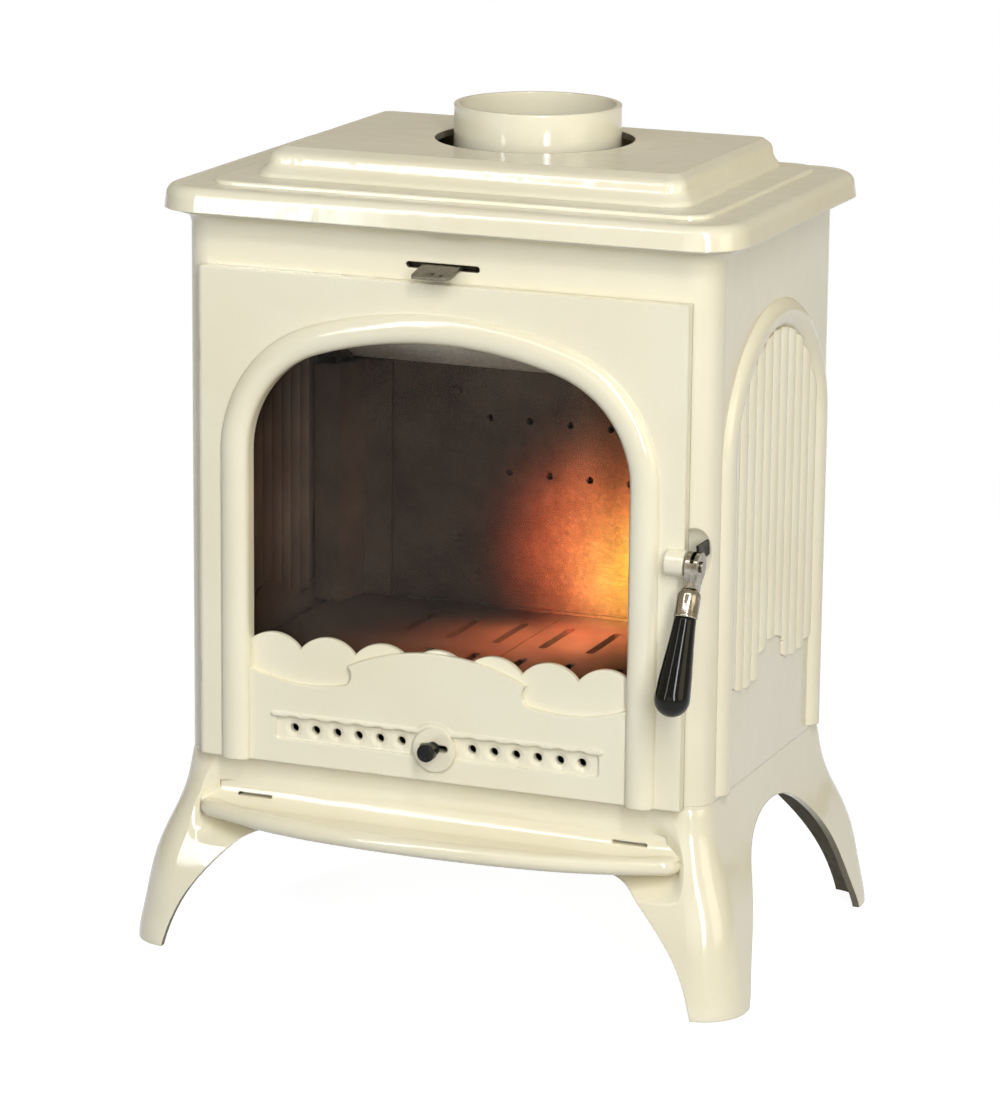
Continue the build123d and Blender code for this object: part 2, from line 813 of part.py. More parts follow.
with BuildPart() as top_plate:
    with BuildLine(Plane.XY.offset(body_top)) as top_outline:
        FilletPolyline(
            (0, top_front),
            (top_half_width, top_front),
            (top_half_width, top_back),
            (-top_half_width, top_back),
            (-top_half_width, top_front),
            (-top_corner, top_front),
            radius=top_corner,
        )
        Line((-top_corner, top_front), (0, top_front))
    with BuildSketch(Plane(origin=(0, top_front, body_top), x_dir=(0, -1, 0), z_dir=(-1, 0, 0))):
        with BuildLine():
            Line((0, 0), (-top_draft, top_edge_upright))
            ThreePointArc(
                (-top_draft, top_edge_upright),
                (-top_edge_inset / 3, (top_edge_upright + 3 * top_flat) / 4),
                (-top_edge_inset, top_flat),
            )
            Polyline((-top_edge_inset, top_flat), (-top_core_inset, top_flat), (-top_core_inset, 0), (0, 0))
        make_face()
    sweep(path=top_outline.line)
    with BuildSketch(Plane.XY.offset(body_top)):
        with Locations((0, (top_front + top_back) / 2)):
            RectangleRounded(
                2 * (top_half_width - top_core_inset + top_core_lap),
                top_back - top_front - 2 * (top_core_inset - top_core_lap),
                top_corner - top_core_inset + top_core_lap,
            )
    extrude(amount=top_flat)
    with BuildSketch(Plane.XY.offset(body_top + top_flat)):
        with Locations((0, (top_front + step_front_inset + top_back - step_back_inset) / 2)):
            RectangleRounded(
                2 * (top_half_width - step_side_inset),
                top_back - top_front - step_front_inset - step_back_inset,
                step_corner,
            )
    extrude(amount=step_height)
    fillet(top_plate.faces().sort_by(Axis.Z)[-1].outer_wire().edges(), step_round)
    add(raised_panel.part)
    # Hollow underside and the flue hole
    with BuildSketch(Plane.XY.offset(body_top)):
        with Locations((0, (top_front + top_back) / 2)):
            RectangleRounded(
                2 * (top_half_width - top_hollow_inset),
                top_back - top_front - 2 * top_hollow_inset,
                body_corner / 2,
            )
    extrude(amount=top_hollow_height, mode=Mode.SUBTRACT)
    with BuildSketch(Plane.XY.offset(body_top)):
        with Locations((0, (panel_front + panel_back) / 2)):
            RectangleRounded(
                2 * (panel_half_width - panel_hollow_inset),
                panel_back - panel_front - 2 * panel_hollow_inset,
                panel_corner,
            )
    extrude(amount=panel_rise - panel_hollow_roof, mode=Mode.SUBTRACT)
    with BuildSketch(Plane.XY.offset(body_top + panel_rise)):
        with Locations((0, flue_hole_y)):
            Circle(flue_hole_radius)
    extrude(amount=-panel_rise, mode=Mode.SUBTRACT)

save(top_plate.part, "top_plate")

# Inner top, clamped on the panels' ledges, with the flue hole and the collar on it
inner_top_play = 1.0
inner_top_thickness = 6.0
inner_top_corner = 17.0
collar_y = body_back - 108.6
collar_outer_radius = 75.0
collar_wall = 5.0
collar_top = 743.6
collar_flange_radius = 96.0
collar_flange_thickness = 6.0
collar_bolt_circle = 85.0
collar_bolt_radius = 3.0
collar_bolt_head_radius = 6.5
collar_bolt_head_height = 5.3
collar_hole_play = 2.0
collar_lip = 1.2
inner_top_height = top_ledge_height + inner_top_thickness
collar_inner_radius = collar_outer_radius - collar_wall

with BuildPart() as inner_top_plate:
    with BuildSketch(Plane.XY.offset(top_ledge_height)):
        with Locations((0, body_middle)):
            RectangleRounded(
                2 * (side_inside - inner_top_play),
                back_inside - frame_inside - 2 * inner_top_play,
                inner_top_corner,
            )
        with Locations(*rod_places):
            Circle(rod_radius + rod_clearance, mode=Mode.SUBTRACT)
        with Locations((0, collar_y)):
            Circle(collar_inner_radius + collar_hole_play, mode=Mode.SUBTRACT)
            with PolarLocations(collar_bolt_circle, 4, start_angle=45):
                Circle(collar_bolt_radius, mode=Mode.SUBTRACT)
    extrude(amount=inner_top_thickness)

save(inner_top_plate.part, "inner_top_plate")

with BuildPart() as flue_collar:
    with BuildSketch(Plane.XY.offset(inner_top_height)):
        with Locations((0, collar_y)):
            Circle(collar_flange_radius)
            Circle(collar_inner_radius, mode=Mode.SUBTRACT)
            with PolarLocations(collar_bolt_circle, 4, start_angle=45):
                Circle(collar_bolt_radius, mode=Mode.SUBTRACT)
    extrude(amount=collar_flange_thickness)
    with BuildSketch(Plane.XY.offset(inner_top_height)):
        with Locations((0, collar_y)):
            Circle(collar_outer_radius)
            Circle(collar_inner_radius, mode=Mode.SUBTRACT)
    extrude(amount=collar_top - inner_top_height)
    fillet(flue_collar.faces().sort_by(Axis.Z)[-1].outer_wire().edges(), collar_lip)

save(flue_collar.part, "flue_collar")

with BuildPart() as collar_bolts:
    with BuildSketch(Plane.XY.offset(inner_top_height + collar_flange_thickness)):
        with Locations((0, collar_y)):
            with PolarLocations(collar_bolt_circle, 4, start_angle=45):
                RegularPolygon(collar_bolt_head_radius, 6)
    extrude(amount=collar_bolt_head_height)
    with BuildSketch(Plane.XY.offset(inner_top_height + collar_flange_thickness)):
        with Locations((0, collar_y)):
            with PolarLocations(collar_bolt_circle, 4, start_angle=45):
                Circle(collar_bolt_radius)
    extrude(amount=-collar_flange_thickness - inner_top_thickness)

save(collar_bolts.part, "collar_bolts")

# Tie rods from under the base's ring to the inner top
rod_nut_radius = 5.5
rod_nut_height = 5.0
rod_foot = base_height - bottom_plate_thickness - base_flange_thickness

with BuildPart() as tie_rods:
    with BuildSketch(Plane.XY.offset(rod_foot - rod_nut_height)):
        with Locations(*rod_places):
            Circle(rod_radius)
    extrude(amount=inner_top_height + 2 * rod_nut_height - rod_foot)

save(tie_rods.part, "tie_rods")

with BuildPart() as tie_rod_nuts:
    for nut_foot in (rod_foot - rod_nut_height, inner_top_height):
        with BuildSketch(Plane.XY.offset(nut_foot)):
            with Locations(*rod_places):
                RegularPolygon(rod_nut_radius, 6)
                Circle(rod_radius, mode=Mode.SUBTRACT)
        extrude(amount=rod_nut_height)

save(tie_rod_nuts.part, "tie_rod_nuts")

# Baffle over the fire, on a rail at each side
baffle_side_gap = 18.4
baffle_half_width = side_inside - baffle_side_gap
baffle_thickness = 22.0
baffle_back = fireback_front - 3.0
baffle_low = 480.0
baffle_front = body_front + 119.3
baffle_high = 565.0
baffle_rail_inner = baffle_half_width - 8.0
baffle_rail_thickness = 5.5
baffle_rail_inset = 10.0
baffle_slope = (baffle_high - baffle_low) / (baffle_back - baffle_front)

with BuildPart() as baffle:
    with BuildSketch(side_plane(-baffle_half_width)):
        with BuildLine():
            Polyline(
                (baffle_front, baffle_high),
                (baffle_back, baffle_low),
                (baffle_back, baffle_low + baffle_thickness),
                (baffle_front, baffle_high + baffle_thickness),
                (baffle_front, baffle_high),
            )
        make_face()
    extrude(amount=2 * baffle_half_width)

save(baffle.part, "baffle")

with BuildPart() as baffle_rails:
    with BuildSketch(side_plane(baffle_rail_inner)):
        with BuildLine():
            rail_drop = baffle_rail_inset * baffle_slope
            Polyline(
                (baffle_front + baffle_rail_inset, baffle_high - rail_drop),
                (baffle_back - baffle_rail_inset, baffle_low + rail_drop),
                (baffle_back - baffle_rail_inset, baffle_low + rail_drop - baffle_rail_thickness),
                (baffle_front + baffle_rail_inset, baffle_high - rail_drop - baffle_rail_thickness),
                (baffle_front + baffle_rail_inset, baffle_high - rail_drop),
            )
        make_face()
    extrude(amount=side_inside - baffle_rail_inner)
    mirror(about=Plane.YZ)

save(baffle_rails.part, "baffle_rails")

# Grate: two slotted plates on two bars
grate_side_gap = 15.4
grate_half_width = side_inside - grate_side_gap
grate_joint = 1.0
grate_front = frame_inside + 4.3
grate_back = fireback_front - 1.0
grate_bar_depth = 12.0
grate_bar_front = body_front + 59.3
grate_bar_back = body_front + 255.3
grate_slot_width = 8.0
grate_slot_x = (23.0, 69.0, 115.0)
grate_slot_rows = ((body_front + 67.3, body_front + 144.3), (body_front + 183.3, body_front + 260.3))
grate_foot = grate_ledge_top + grate_bar_height

with BuildPart() as grate_bars:
    with BuildSketch(Plane.XY.offset(grate_ledge_top)):
        with Locations((0, grate_bar_front), (0, grate_bar_back)):
            Rectangle(2 * (side_inside - grate_joint), grate_bar_depth, align=(Align.CENTER, Align.MIN))
    extrude(amount=grate_bar_height)

save(grate_bars.part, "grate_bars")

for side, grate_name in ((-1, "grate_left"), (1, "grate_right")):
    with BuildPart() as grate:
        with BuildSketch(Plane.XY.offset(grate_foot)):
            plate_width = grate_half_width - grate_joint / 2
            plate_middle = side * (grate_half_width + grate_joint / 2) / 2
            with Locations((plate_middle, (grate_front + grate_back) / 2)):
                RectangleRounded(plate_width, grate_back - grate_front, grate_thickness)
            for row_front, row_back in grate_slot_rows:
                with Locations(*[(side * slot_x, (row_front + row_back) / 2) for slot_x in grate_slot_x]):
                    SlotOverall(row_back - row_front, grate_slot_width, rotation=90, mode=Mode.SUBTRACT)
        extrude(amount=grate_thickness)
    save(grate.part, grate_name)

# Flanged covers in the back corners of the fire
flange_thickness = 5.0
flange_side_y = fireback_front - 42.0
flange_turn_x = side_inside - 26.4
flange_back_x = flange_turn_x - 8.0
flange_inner_x = fireback_half_width + 1.0
flange_top = baffle_low - 2.0

with BuildPart() as corner_flange_right:
    with BuildSketch(Plane.XY.offset(grate_foot + grate_thickness)):
        with BuildLine():
            Polyline(
                (side_inside - grate_joint, flange_side_y),
                (flange_turn_x, flange_side_y),
                (flange_back_x, fireback_front - grate_joint),
                (flange_inner_x, fireback_front - grate_joint),
                (flange_inner_x, fireback_front - grate_joint + flange_thickness),
                (flange_back_x + flange_thickness, fireback_front - grate_joint + flange_thickness),
                (flange_turn_x + flange_thickness, flange_side_y + flange_thickness),
                (side_inside - grate_joint, flange_side_y + flange_thickness),
                (side_inside - grate_joint, flange_side_y),
            )
        make_face()
    extrude(amount=flange_top - grate_foot - grate_thickness)

save(corner_flange_right.part, "corner_flange_right")

with BuildPart() as corner_flange_left:
    add(mirror(corner_flange_right.part, about=Plane.YZ))

save(corner_flange_left.part, "corner_flange_left")

# Rails on the floor, and the ash pan on them
rail_height = 13.3
rail_inner = 134.0
rail_width = 16.0
rail_lip = 4.0
rail_lip_height = 14.0
rail_front = body_front + 19.3
rail_length = 270.0
pan_half_width = 149.0
pan_play = 0.3
pan_wall = 1.5
pan_height = 45.0
pan_corner = 8.0
pan_rim = 3.0
pan_pull_length = 60.0
pan_pull_height = 12.0
pan_pull_drop = 14.0
pan_foot = base_height + rail_height + pan_play

with BuildPart() as pan_rails:
    with BuildSketch(front_plane(rail_front)):
        for side in (-1, 1):
            with Locations((side * (rail_inner + rail_width / 2), base_height)):
                Rectangle(rail_width, rail_height, align=(Align.CENTER, Align.MIN))
            with Locations((side * (rail_inner + rail_width + rail_lip / 2), base_height)):
                Rectangle(rail_lip, rail_height + rail_lip_height, align=(Align.CENTER, Align.MIN))
    extrude(amount=-rail_length)

save(pan_rails.part, "pan_rails")

with BuildPart() as ash_pan:
    with BuildSketch(Plane.XY.offset(pan_foot)):
        with Locations((0, rail_front + rail_length / 2)):
            RectangleRounded(2 * (pan_half_width - pan_rim), rail_length - 2 * pan_rim, pan_corner)
    extrude(amount=pan_height)
    with BuildSketch(Plane.XY.offset(pan_foot + pan_wall)):
        with Locations((0, rail_front + rail_length / 2)):
            RectangleRounded(
                2 * (pan_half_width - pan_rim - pan_wall),
                rail_length - 2 * (pan_rim + pan_wall),
                pan_corner - pan_wall,
            )
    extrude(amount=pan_height - pan_wall, mode=Mode.SUBTRACT)
    with BuildSketch(Plane.XY.offset(pan_foot + pan_height)):
        with Locations((0, rail_front + rail_length / 2)):
            RectangleRounded(2 * pan_half_width, rail_length, pan_corner + pan_rim)
            RectangleRounded(
                2 * (pan_half_width - pan_rim - pan_wall),
                rail_length - 2 * (pan_rim + pan_wall),
                pan_corner - pan_wall,
                mode=Mode.SUBTRACT,
            )
    extrude(amount=-pan_wall)
    with BuildSketch(front_plane(rail_front)):
        with Locations((0, pan_foot + pan_height - pan_pull_drop)):
            SlotOverall(pan_pull_length, pan_pull_height)
    extrude(amount=-2 * pan_rim - pan_wall, mode=Mode.SUBTRACT)

save(ash_pan.part, "ash_pan")

# Door casting
door_layer = 5.0
aperture_half_width = door_half_width - 49.7
aperture_spring = 456.0
aperture_corner = 96.0
aperture_apex = 565.0
aperture_foot = 260.0
door_dip = 249.3
door_hook = 271.0
door_peak = 290.7
door_brow_half = 84.0
door_bead_width = 26.0
door_bead_height = 9.0
scallop_radius = 33.0
scallop_pitch = 52.5
scallop_count = 7
door_edge_round = 1.5
recess_half_width = 153.0
recess_height = 20.5
recess_depth = 2.4
recess_corner = 4.0
air_hole_height = 208.0
air_hole_first = 33.5
air_hole_step = 20.55
air_hole_size = 4.0
air_dimple_radius = 16.0
air_dimple_depth = 2.2
recess_lip_height = 4.0
recess_lip_rise = 1.2
recess_lip_reach = 4.0
air_hole_x = [side * (air_hole_first + air_hole_step * index) for side in (-1, 1) for index in range(6)]
boss_radius = 20.0
boss_rise = 3.0
boss_height = 205.0
knob_height = 207.0
knob_travel = 10.0
knob_stem_radius = 3.0
knob_stem_play = 0.3
nub_left = door_half_width - 14.4
nub_right = door_half_width + 3.1
nub_radius = 11.75
nub_out = 1.25
bolt_radius = 3.0
bolt_left = nub_left + 1.5
ring_half_width = opening_half_width - 4.0
ring_foot = 191.0
ring_head = 594.0
ring_wall = 5.0
ring_height = 9.6
ring_corner = 8.0
seal_half_width = opening_half_width + 6.5
seal_foot = 183.0
seal_head = 602.0
seal_width = 8.0
seal_depth = 4.0
seal_corner = 12.0
glass_half_width = aperture_half_width + 8.8
glass_foot = 252.0
glass_head = 580.0
glass_thickness = 4.0
gasket_thickness = 2.2
gasket_width = 6.0
clip_x = 100.0
clip_half_width = 8.0
clip_thickness = 1.5
clip_hold = 8.0
clip_low = 245.0
clip_high = 585.0
clip_boss_radius = 3.5
clip_screw_radius = 1.5
clip_screw_depth = 2.0
clip_head_radius = 3.0
clip_head_height = 2.0
slide_gap = 0.3
slide_thickness = 2.0
slide_half_length = 173.0
slide_half_height = 9.0
slide_slot_x = 157.0
slide_slot_height = 6.0
slide_end_play = 3.0
bush_radius = 2.8
bush_bore_radius = 2.0
bush_flange_radius = 5.0
bush_flange_thickness = 1.0
slide_screw_head_radius = 3.5
slide_screw_head_height = 2.0
slide_screw_depth = 4.0
pocket_half_height = lug_height / 2 + lug_play
pocket_skin = 1.8
pocket_right = 10.7
glass_front = door_back + gasket_thickness
glass_back = glass_front + glass_thickness
clip_places = [(side * clip_x, height) for side in (-1, 1) for height in (clip_low, clip_high)]
slide_screw_places = [(side * slide_slot_x, air_hole_height) for side in (-1, 1)]
bush_height = slide_gap + slide_thickness + slide_gap


def ring_sketch(half_width, foot, head, wall, corner):
    """A closed band with square or rounded corners, drawn inwards from its outer size."""
    with Locations((0, (foot + head) / 2)):
        RectangleRounded(2 * half_width, head - foot, corner)
        RectangleRounded(
            2 * (half_width - wall),
            head - foot - 2 * wall,
            max(corner - wall, wall / 4),
            mode=Mode.SUBTRACT,
        )


with BuildPart() as door:
    # Front layer with the ogee edge, back layer with the scallops
    with BuildSketch(front_plane(door_face + door_layer)):
        with Locations((0, (door_bottom + door_top) / 2)):
            Rectangle(2 * door_half_width, door_top - door_bottom)
        with BuildLine():
            arch_lines(aperture_half_width, aperture_foot, aperture_spring, aperture_corner, aperture_apex)
            ogee_lines(aperture_half_width, aperture_foot, door_dip, door_hook, door_peak, door_brow_half)
        make_face(mode=Mode.SUBTRACT)
    extrude(amount=door_layer)
    with BuildSketch(front_plane(door_back)):
        with Locations((0, (door_bottom + door_top) / 2)):
            Rectangle(2 * door_half_width, door_top - door_bottom)
        with BuildLine():
            arch_lines(aperture_half_width, aperture_foot, aperture_spring, aperture_corner, aperture_apex)
            Line((aperture_half_width, aperture_foot), (-aperture_half_width, aperture_foot))
        make_face(mode=Mode.SUBTRACT)
        with Locations((0, aperture_foot)):
            with GridLocations(scallop_pitch, 1, scallop_count, 1):
                Circle(scallop_radius)
    extrude(amount=door_thickness - door_layer)
    # Arched bead that runs down to the door's foot
    with BuildLine(front_plane(door_face)) as door_bead_path:
        arch_lines(
            aperture_half_width + door_bead_width / 2,
            door_bottom,
            aperture_spring,
            aperture_corner + door_bead_width / 2,
            aperture_apex + door_bead_width / 2,
        )
    door_bead_start = (-aperture_half_width - door_bead_width / 2, door_face, door_bottom)
    with BuildSketch(Plane(origin=door_bead_start, x_dir=(1, 0, 0), z_dir=(0, 0, 1))):
        with BuildLine():
            EllipticalCenterArc((0, 0), door_bead_width / 2, door_bead_height, 180, arc_size=180)
            Polyline(
                (door_bead_width / 2, 0),
                (door_bead_width / 2, door_layer),
                (-door_bead_width / 2, door_layer),
                (-door_bead_width / 2, 0),
            )
        make_face()
    sweep(path=door_bead_path.line)
    # Shallow recess with the air holes, and the knob's boss
    with BuildSketch(front_plane(door_face)):
        with Locations((0, air_hole_height)):
            RectangleRounded(2 * recess_half_width, recess_height, recess_corner)
    extrude(amount=-recess_depth, mode=Mode.SUBTRACT)
    # Raised lip over the recess, bowed over the boss
    with BuildSketch(front_plane(door_face + recess_depth)):
        with Locations((0, air_hole_height + (recess_height + recess_lip_height) / 2)):
            SlotOverall(2 * (recess_half_width + recess_lip_reach), recess_lip_height)
        with Locations((0, boss_height)):
            Circle(boss_radius + recess_lip_height)
        with Locations((0, air_hole_height + recess_height / 2)):
            Rectangle(
                2 * door_half_width,
                2 * boss_radius,
                align=(Align.CENTER, Align.MIN),
                mode=Mode.INTERSECT,
            )
    extrude(amount=recess_depth + recess_lip_rise)
    dimple_centre = door_face + recess_depth + air_dimple_depth - air_dimple_radius
    with Locations(*[(x, dimple_centre, air_hole_height) for x in air_hole_x]):
        Sphere(air_dimple_radius, mode=Mode.SUBTRACT)
    with BuildSketch(front_plane(door_face + recess_depth)):
        with Locations((0, boss_height)):
            Circle(boss_radius)
    extrude(amount=recess_depth + boss_rise)
    with BuildSketch(front_plane(door_face - boss_rise)):
        with Locations(*[(x, air_hole_height) for x in air_hole_x]):
            Circle(air_hole_size)
        with Locations((0, knob_height)):
            SlotOverall(
                2 * (knob_travel + knob_stem_radius + knob_stem_play),
                2 * (knob_stem_radius + knob_stem_play),
            )
    extrude(amount=-boss_rise - door_thickness, mode=Mode.SUBTRACT)
    # Nub that carries the handle's bolt
    with BuildSketch(side_plane(nub_left)):
        with Locations((door_face - nub_out, handle_pivot_z)):
            Circle(nub_radius)
        with Locations((door_face + door_layer, handle_pivot_z)):
            Rectangle(4 * nub_radius, 4 * nub_radius, align=(Align.MAX, Align.CENTER), mode=Mode.INTERSECT)
    extrude(amount=nub_right - nub_left)
    with BuildSketch(side_plane(bolt_left)):
        with Locations((door_face - handle_pivot_out, handle_pivot_z)):
            Circle(bolt_radius)
    extrude(amount=nub_right - bolt_left, mode=Mode.SUBTRACT)
    # Back: stiffening ring, groove for the rope, bosses for the glass clips
    with BuildSketch(front_plane(door_back)):
        ring_sketch(ring_half_width, ring_foot, ring_head, ring_wall, ring_corner)
    extrude(amount=-ring_height)
    with BuildSketch(front_plane(door_back)):
        ring_sketch(
            seal_half_width + seal_width / 2,
            seal_foot - seal_width / 2,
            seal_head + seal_width / 2,
            seal_width,
            seal_corner,
        )
    extrude(amount=seal_depth, mode=Mode.SUBTRACT)
    with BuildSketch(front_plane(door_back)):
        with Locations(*clip_places):
            Circle(clip_boss_radius)
    extrude(amount=-gasket_thickness - glass_thickness)
    with BuildSketch(front_plane(glass_back)):
        with Locations(*clip_places):
            Circle(clip_screw_radius)
    extrude(amount=gasket_thickness + glass_thickness + clip_screw_depth, mode=Mode.SUBTRACT)
    with BuildSketch(front_plane(door_back)):
        with Locations(*slide_screw_places):
            Circle(bush_bore_radius)
    extrude(amount=slide_screw_depth, mode=Mode.SUBTRACT)
    # Round hinge edge, with a pocket and a bore at each hinge
    with BuildSketch(Plane.XY.offset(door_bottom)):
        with Locations((hinge_x, hinge_y)):
            Rectangle(door_thickness, 2 * door_thickness, align=(Align.MAX, Align.CENTER))
            Circle(door_thickness / 2, mode=Mode.SUBTRACT)
    extrude(amount=door_top - door_bottom, mode=Mode.SUBTRACT)
    for height in hinge_heights:
        with BuildSketch(Plane.XY.offset(height - pocket_half_height)):
            with Locations((-door_half_width, door_face + pocket_skin)):
                Rectangle(
                    door_thickness / 2 + pocket_right,
                    door_thickness,
                    align=(Align.MIN, Align.MIN),
                )
        extrude(amount=2 * pocket_half_height, mode=Mode.SUBTRACT)
        with BuildSketch(Plane.XY.offset(height - pocket_half_height - pin_grip - lug_play)):
            with Locations((hinge_x, hinge_y)):
                Circle(pin_radius + pin_clearance)
        extrude(amount=2 * (pocket_half_height + pin_grip + lug_play), mode=Mode.SUBTRACT)

save(door.part, "door")

with BuildPart() as door_seal:
    with BuildSketch(front_plane(door_back)):
        ring_sketch(
            seal_half_width + seal_width / 2,
            seal_foot - seal_width / 2,
            seal_head + seal_width / 2,
            seal_width,
            seal_corner,
        )
    extrude(amount=seal_depth)

save(door_seal.part, "door_seal")

with BuildPart() as glass_seal:
    with BuildSketch(front_plane(glass_front)):
        ring_sketch(glass_half_width, glass_foot, glass_head, gasket_width, gasket_thickness)
    extrude(amount=gasket_thickness)

save(glass_seal.part, "glass_seal")

with BuildPart() as door_glass:
    with BuildSketch(front_plane(glass_back)):
        with Locations((0, (glass_foot + glass_head) / 2)):
            Rectangle(2 * glass_half_width, glass_head - glass_foot)
    extrude(amount=glass_thickness)

save(door_glass.part, "door_glass")

with BuildPart() as glass_clips:
    with BuildSketch(front_plane(glass_back + clip_thickness)):
        for height, edge, side in ((clip_low, glass_foot, 1), (clip_high, glass_head, -1)):
            far_end = height - side * clip_boss_radius
            near_end = edge + side * clip_hold
            with Locations(*[(x, (far_end + near_end) / 2) for x in (-clip_x, clip_x)]):
                Rectangle(2 * clip_half_width, abs(near_end - far_end))
        with Locations(*clip_places):
            Circle(clip_screw_radius, mode=Mode.SUBTRACT)
    extrude(amount=clip_thickness)

save(glass_clips.part, "glass_clips")

with BuildPart() as clip_screws:
    with BuildSketch(front_plane(glass_back + clip_thickness)):
        with Locations(*clip_places):
            Circle(clip_head_radius)
    extrude(amount=-clip_head_height)
    with BuildSketch(front_plane(glass_back + clip_thickness)):
        with Locations(*clip_places):
            Circle(clip_screw_radius)
    extrude(amount=clip_thickness + gasket_thickness + glass_thickness + clip_screw_depth)

save(clip_screws.part, "clip_screws")

# Primary air: slide behind the door's holes, on two bushes, and the knob in front
with BuildPart() as air_slide:
    with BuildSketch(front_plane(door_back + slide_gap + slide_thickness)):
        with Locations((0, air_hole_height)):
            RectangleRounded(2 * slide_half_length, 2 * slide_half_height, slide_thickness)
        with Locations(*[(x, air_hole_height) for x in air_hole_x]):
            Circle(air_hole_size, mode=Mode.SUBTRACT)
        with Locations(*slide_screw_places):
            SlotOverall(
                slide_slot_height + 2 * knob_travel + slide_end_play,
                slide_slot_height,
                mode=Mode.SUBTRACT,
            )
        with Locations((0, knob_height)):
            Circle(bush_bore_radius, mode=Mode.SUBTRACT)
    extrude(amount=slide_thickness)

save(air_slide.part, "air_slide")

with BuildPart() as slide_bushes:
    with BuildSketch(front_plane(door_back)):
        with Locations(*slide_screw_places):
            Circle(bush_radius)
            Circle(bush_bore_radius, mode=Mode.SUBTRACT)
    extrude(amount=-bush_height)
    with BuildSketch(front_plane(door_back + bush_height)):
        with Locations(*slide_screw_places):
            Circle(bush_flange_radius)
            Circle(bush_bore_radius, mode=Mode.SUBTRACT)
    extrude(amount=-bush_flange_thickness)

save(slide_bushes.part, "slide_bushes")

with BuildPart() as slide_screws:
    with BuildSketch(front_plane(door_back + bush_height + bush_flange_thickness)):
        with Locations(*slide_screw_places):
            Circle(slide_screw_head_radius)
    extrude(amount=-slide_screw_head_height)
    with BuildSketch(front_plane(door_back + bush_height + bush_flange_thickness)):
        with Locations(*slide_screw_places):
            Circle(bush_bore_radius)
    extrude(amount=bush_height + bush_flange_thickness + slide_screw_depth)

save(slide_screws.part, "slide_screws")

knob_neck_radius = 4.5
knob_neck_end = 13.0
knob_radius = 8.0
knob_end = 23.0
knob_round = 2.5
knob_rivet_radius = 3.4
knob_rivet_height = 1.2

with BuildPart() as air_knob:
    with BuildSketch(Plane.XY.offset(knob_height)) as knob_outline:
        with BuildLine():
            slide_front = door_back + slide_gap
            slide_back = slide_front + slide_thickness
            neck_back = door_face - boss_rise - slide_gap
            Polyline(
                (0, slide_back + knob_rivet_height),
                (knob_rivet_radius, slide_back + knob_rivet_height),
                (knob_rivet_radius, slide_back),
                (bush_bore_radius, slide_back),
                (bush_bore_radius, slide_front),
                (knob_stem_radius, slide_front),
                (knob_stem_radius, neck_back),
                (knob_neck_radius, neck_back),
                (knob_neck_radius, door_face - knob_neck_end),
                (knob_radius, door_face - knob_neck_end),
                (knob_radius, door_face - knob_end + knob_round),
            )
            ThreePointArc(
                (knob_radius, door_face - knob_end + knob_round),
                (knob_radius - knob_round / 3, door_face - knob_end + knob_round / 3),
                (knob_radius - knob_round, door_face - knob_end),
            )
            Polyline(
                (knob_radius - knob_round, door_face - knob_end),
                (0, door_face - knob_end),
                (0, slide_back + knob_rivet_height),
            )
        make_face()
    revolve(axis=Axis((0, 0, knob_height), (0, 1, 0)))

save(air_knob.part, "air_knob")

# Air wash: lever through the frieze slot, and its slide inside the frame
wash_half_length = 120.0
wash_foot = 624.0
wash_head = 640.0
wash_thickness = 2.0
wash_gap = 0.3
lever_left = 18.5
lever_right = 17.0
lever_thickness = 3.0
lever_out = 16.0
lever_droop = 4.0
lever_tenon_half = 10.0
lever_tenon_proud = 1.0
lever_round = 1.0
lever_bend_gap = 1.0
guide_half_length = 140.0
guide_height = 4.9
guide_lip = 3.0
guide_lip_thickness = 1.7
guide_gap = 0.3
guide_screw_x = 128.0
guide_screw_radius = 1.4
wash_front = frame_inside + wash_gap
wash_back = wash_front + wash_thickness
guide_back = wash_back + wash_gap + guide_lip_thickness

with BuildPart() as air_wash_slide:
    with BuildSketch(front_plane(wash_back)):
        with Locations((0, (wash_foot + wash_head) / 2)):
            RectangleRounded(2 * wash_half_length, wash_head - wash_foot, wash_thickness)
        with Locations((0, frieze_slot_z)):
            Rectangle(2 * lever_tenon_half, lever_thickness, mode=Mode.SUBTRACT)
    extrude(amount=wash_thickness)

save(air_wash_slide.part, "air_wash_slide")

with BuildPart() as air_wash_lever:
    with BuildSketch(side_plane(-lever_left)):
        with BuildLine():
            low = frieze_slot_z - lever_thickness / 2
            lever_turn = body_front - lever_bend_gap
            lever_end = door_face - lever_out
            Polyline(
                (wash_front, low),
                (lever_turn, low),
                (lever_end, low - lever_droop),
                (lever_end, low - lever_droop + lever_thickness),
                (lever_turn, low + lever_thickness),
                (wash_front, low + lever_thickness),
                (wash_front, low),
            )
        make_face()
    extrude(amount=lever_left + lever_right)
    lever_tip = air_wash_lever.edges().group_by(Axis.Y)[0]
    fillet(lever_tip.filter_by(Axis.X), lever_round)
    with BuildSketch(front_plane(wash_front)):
        with Locations((0, frieze_slot_z)):
            Rectangle(2 * lever_tenon_half, lever_thickness)
    extrude(amount=-wash_thickness - lever_tenon_proud)

save(air_wash_lever.part, "air_wash_lever")

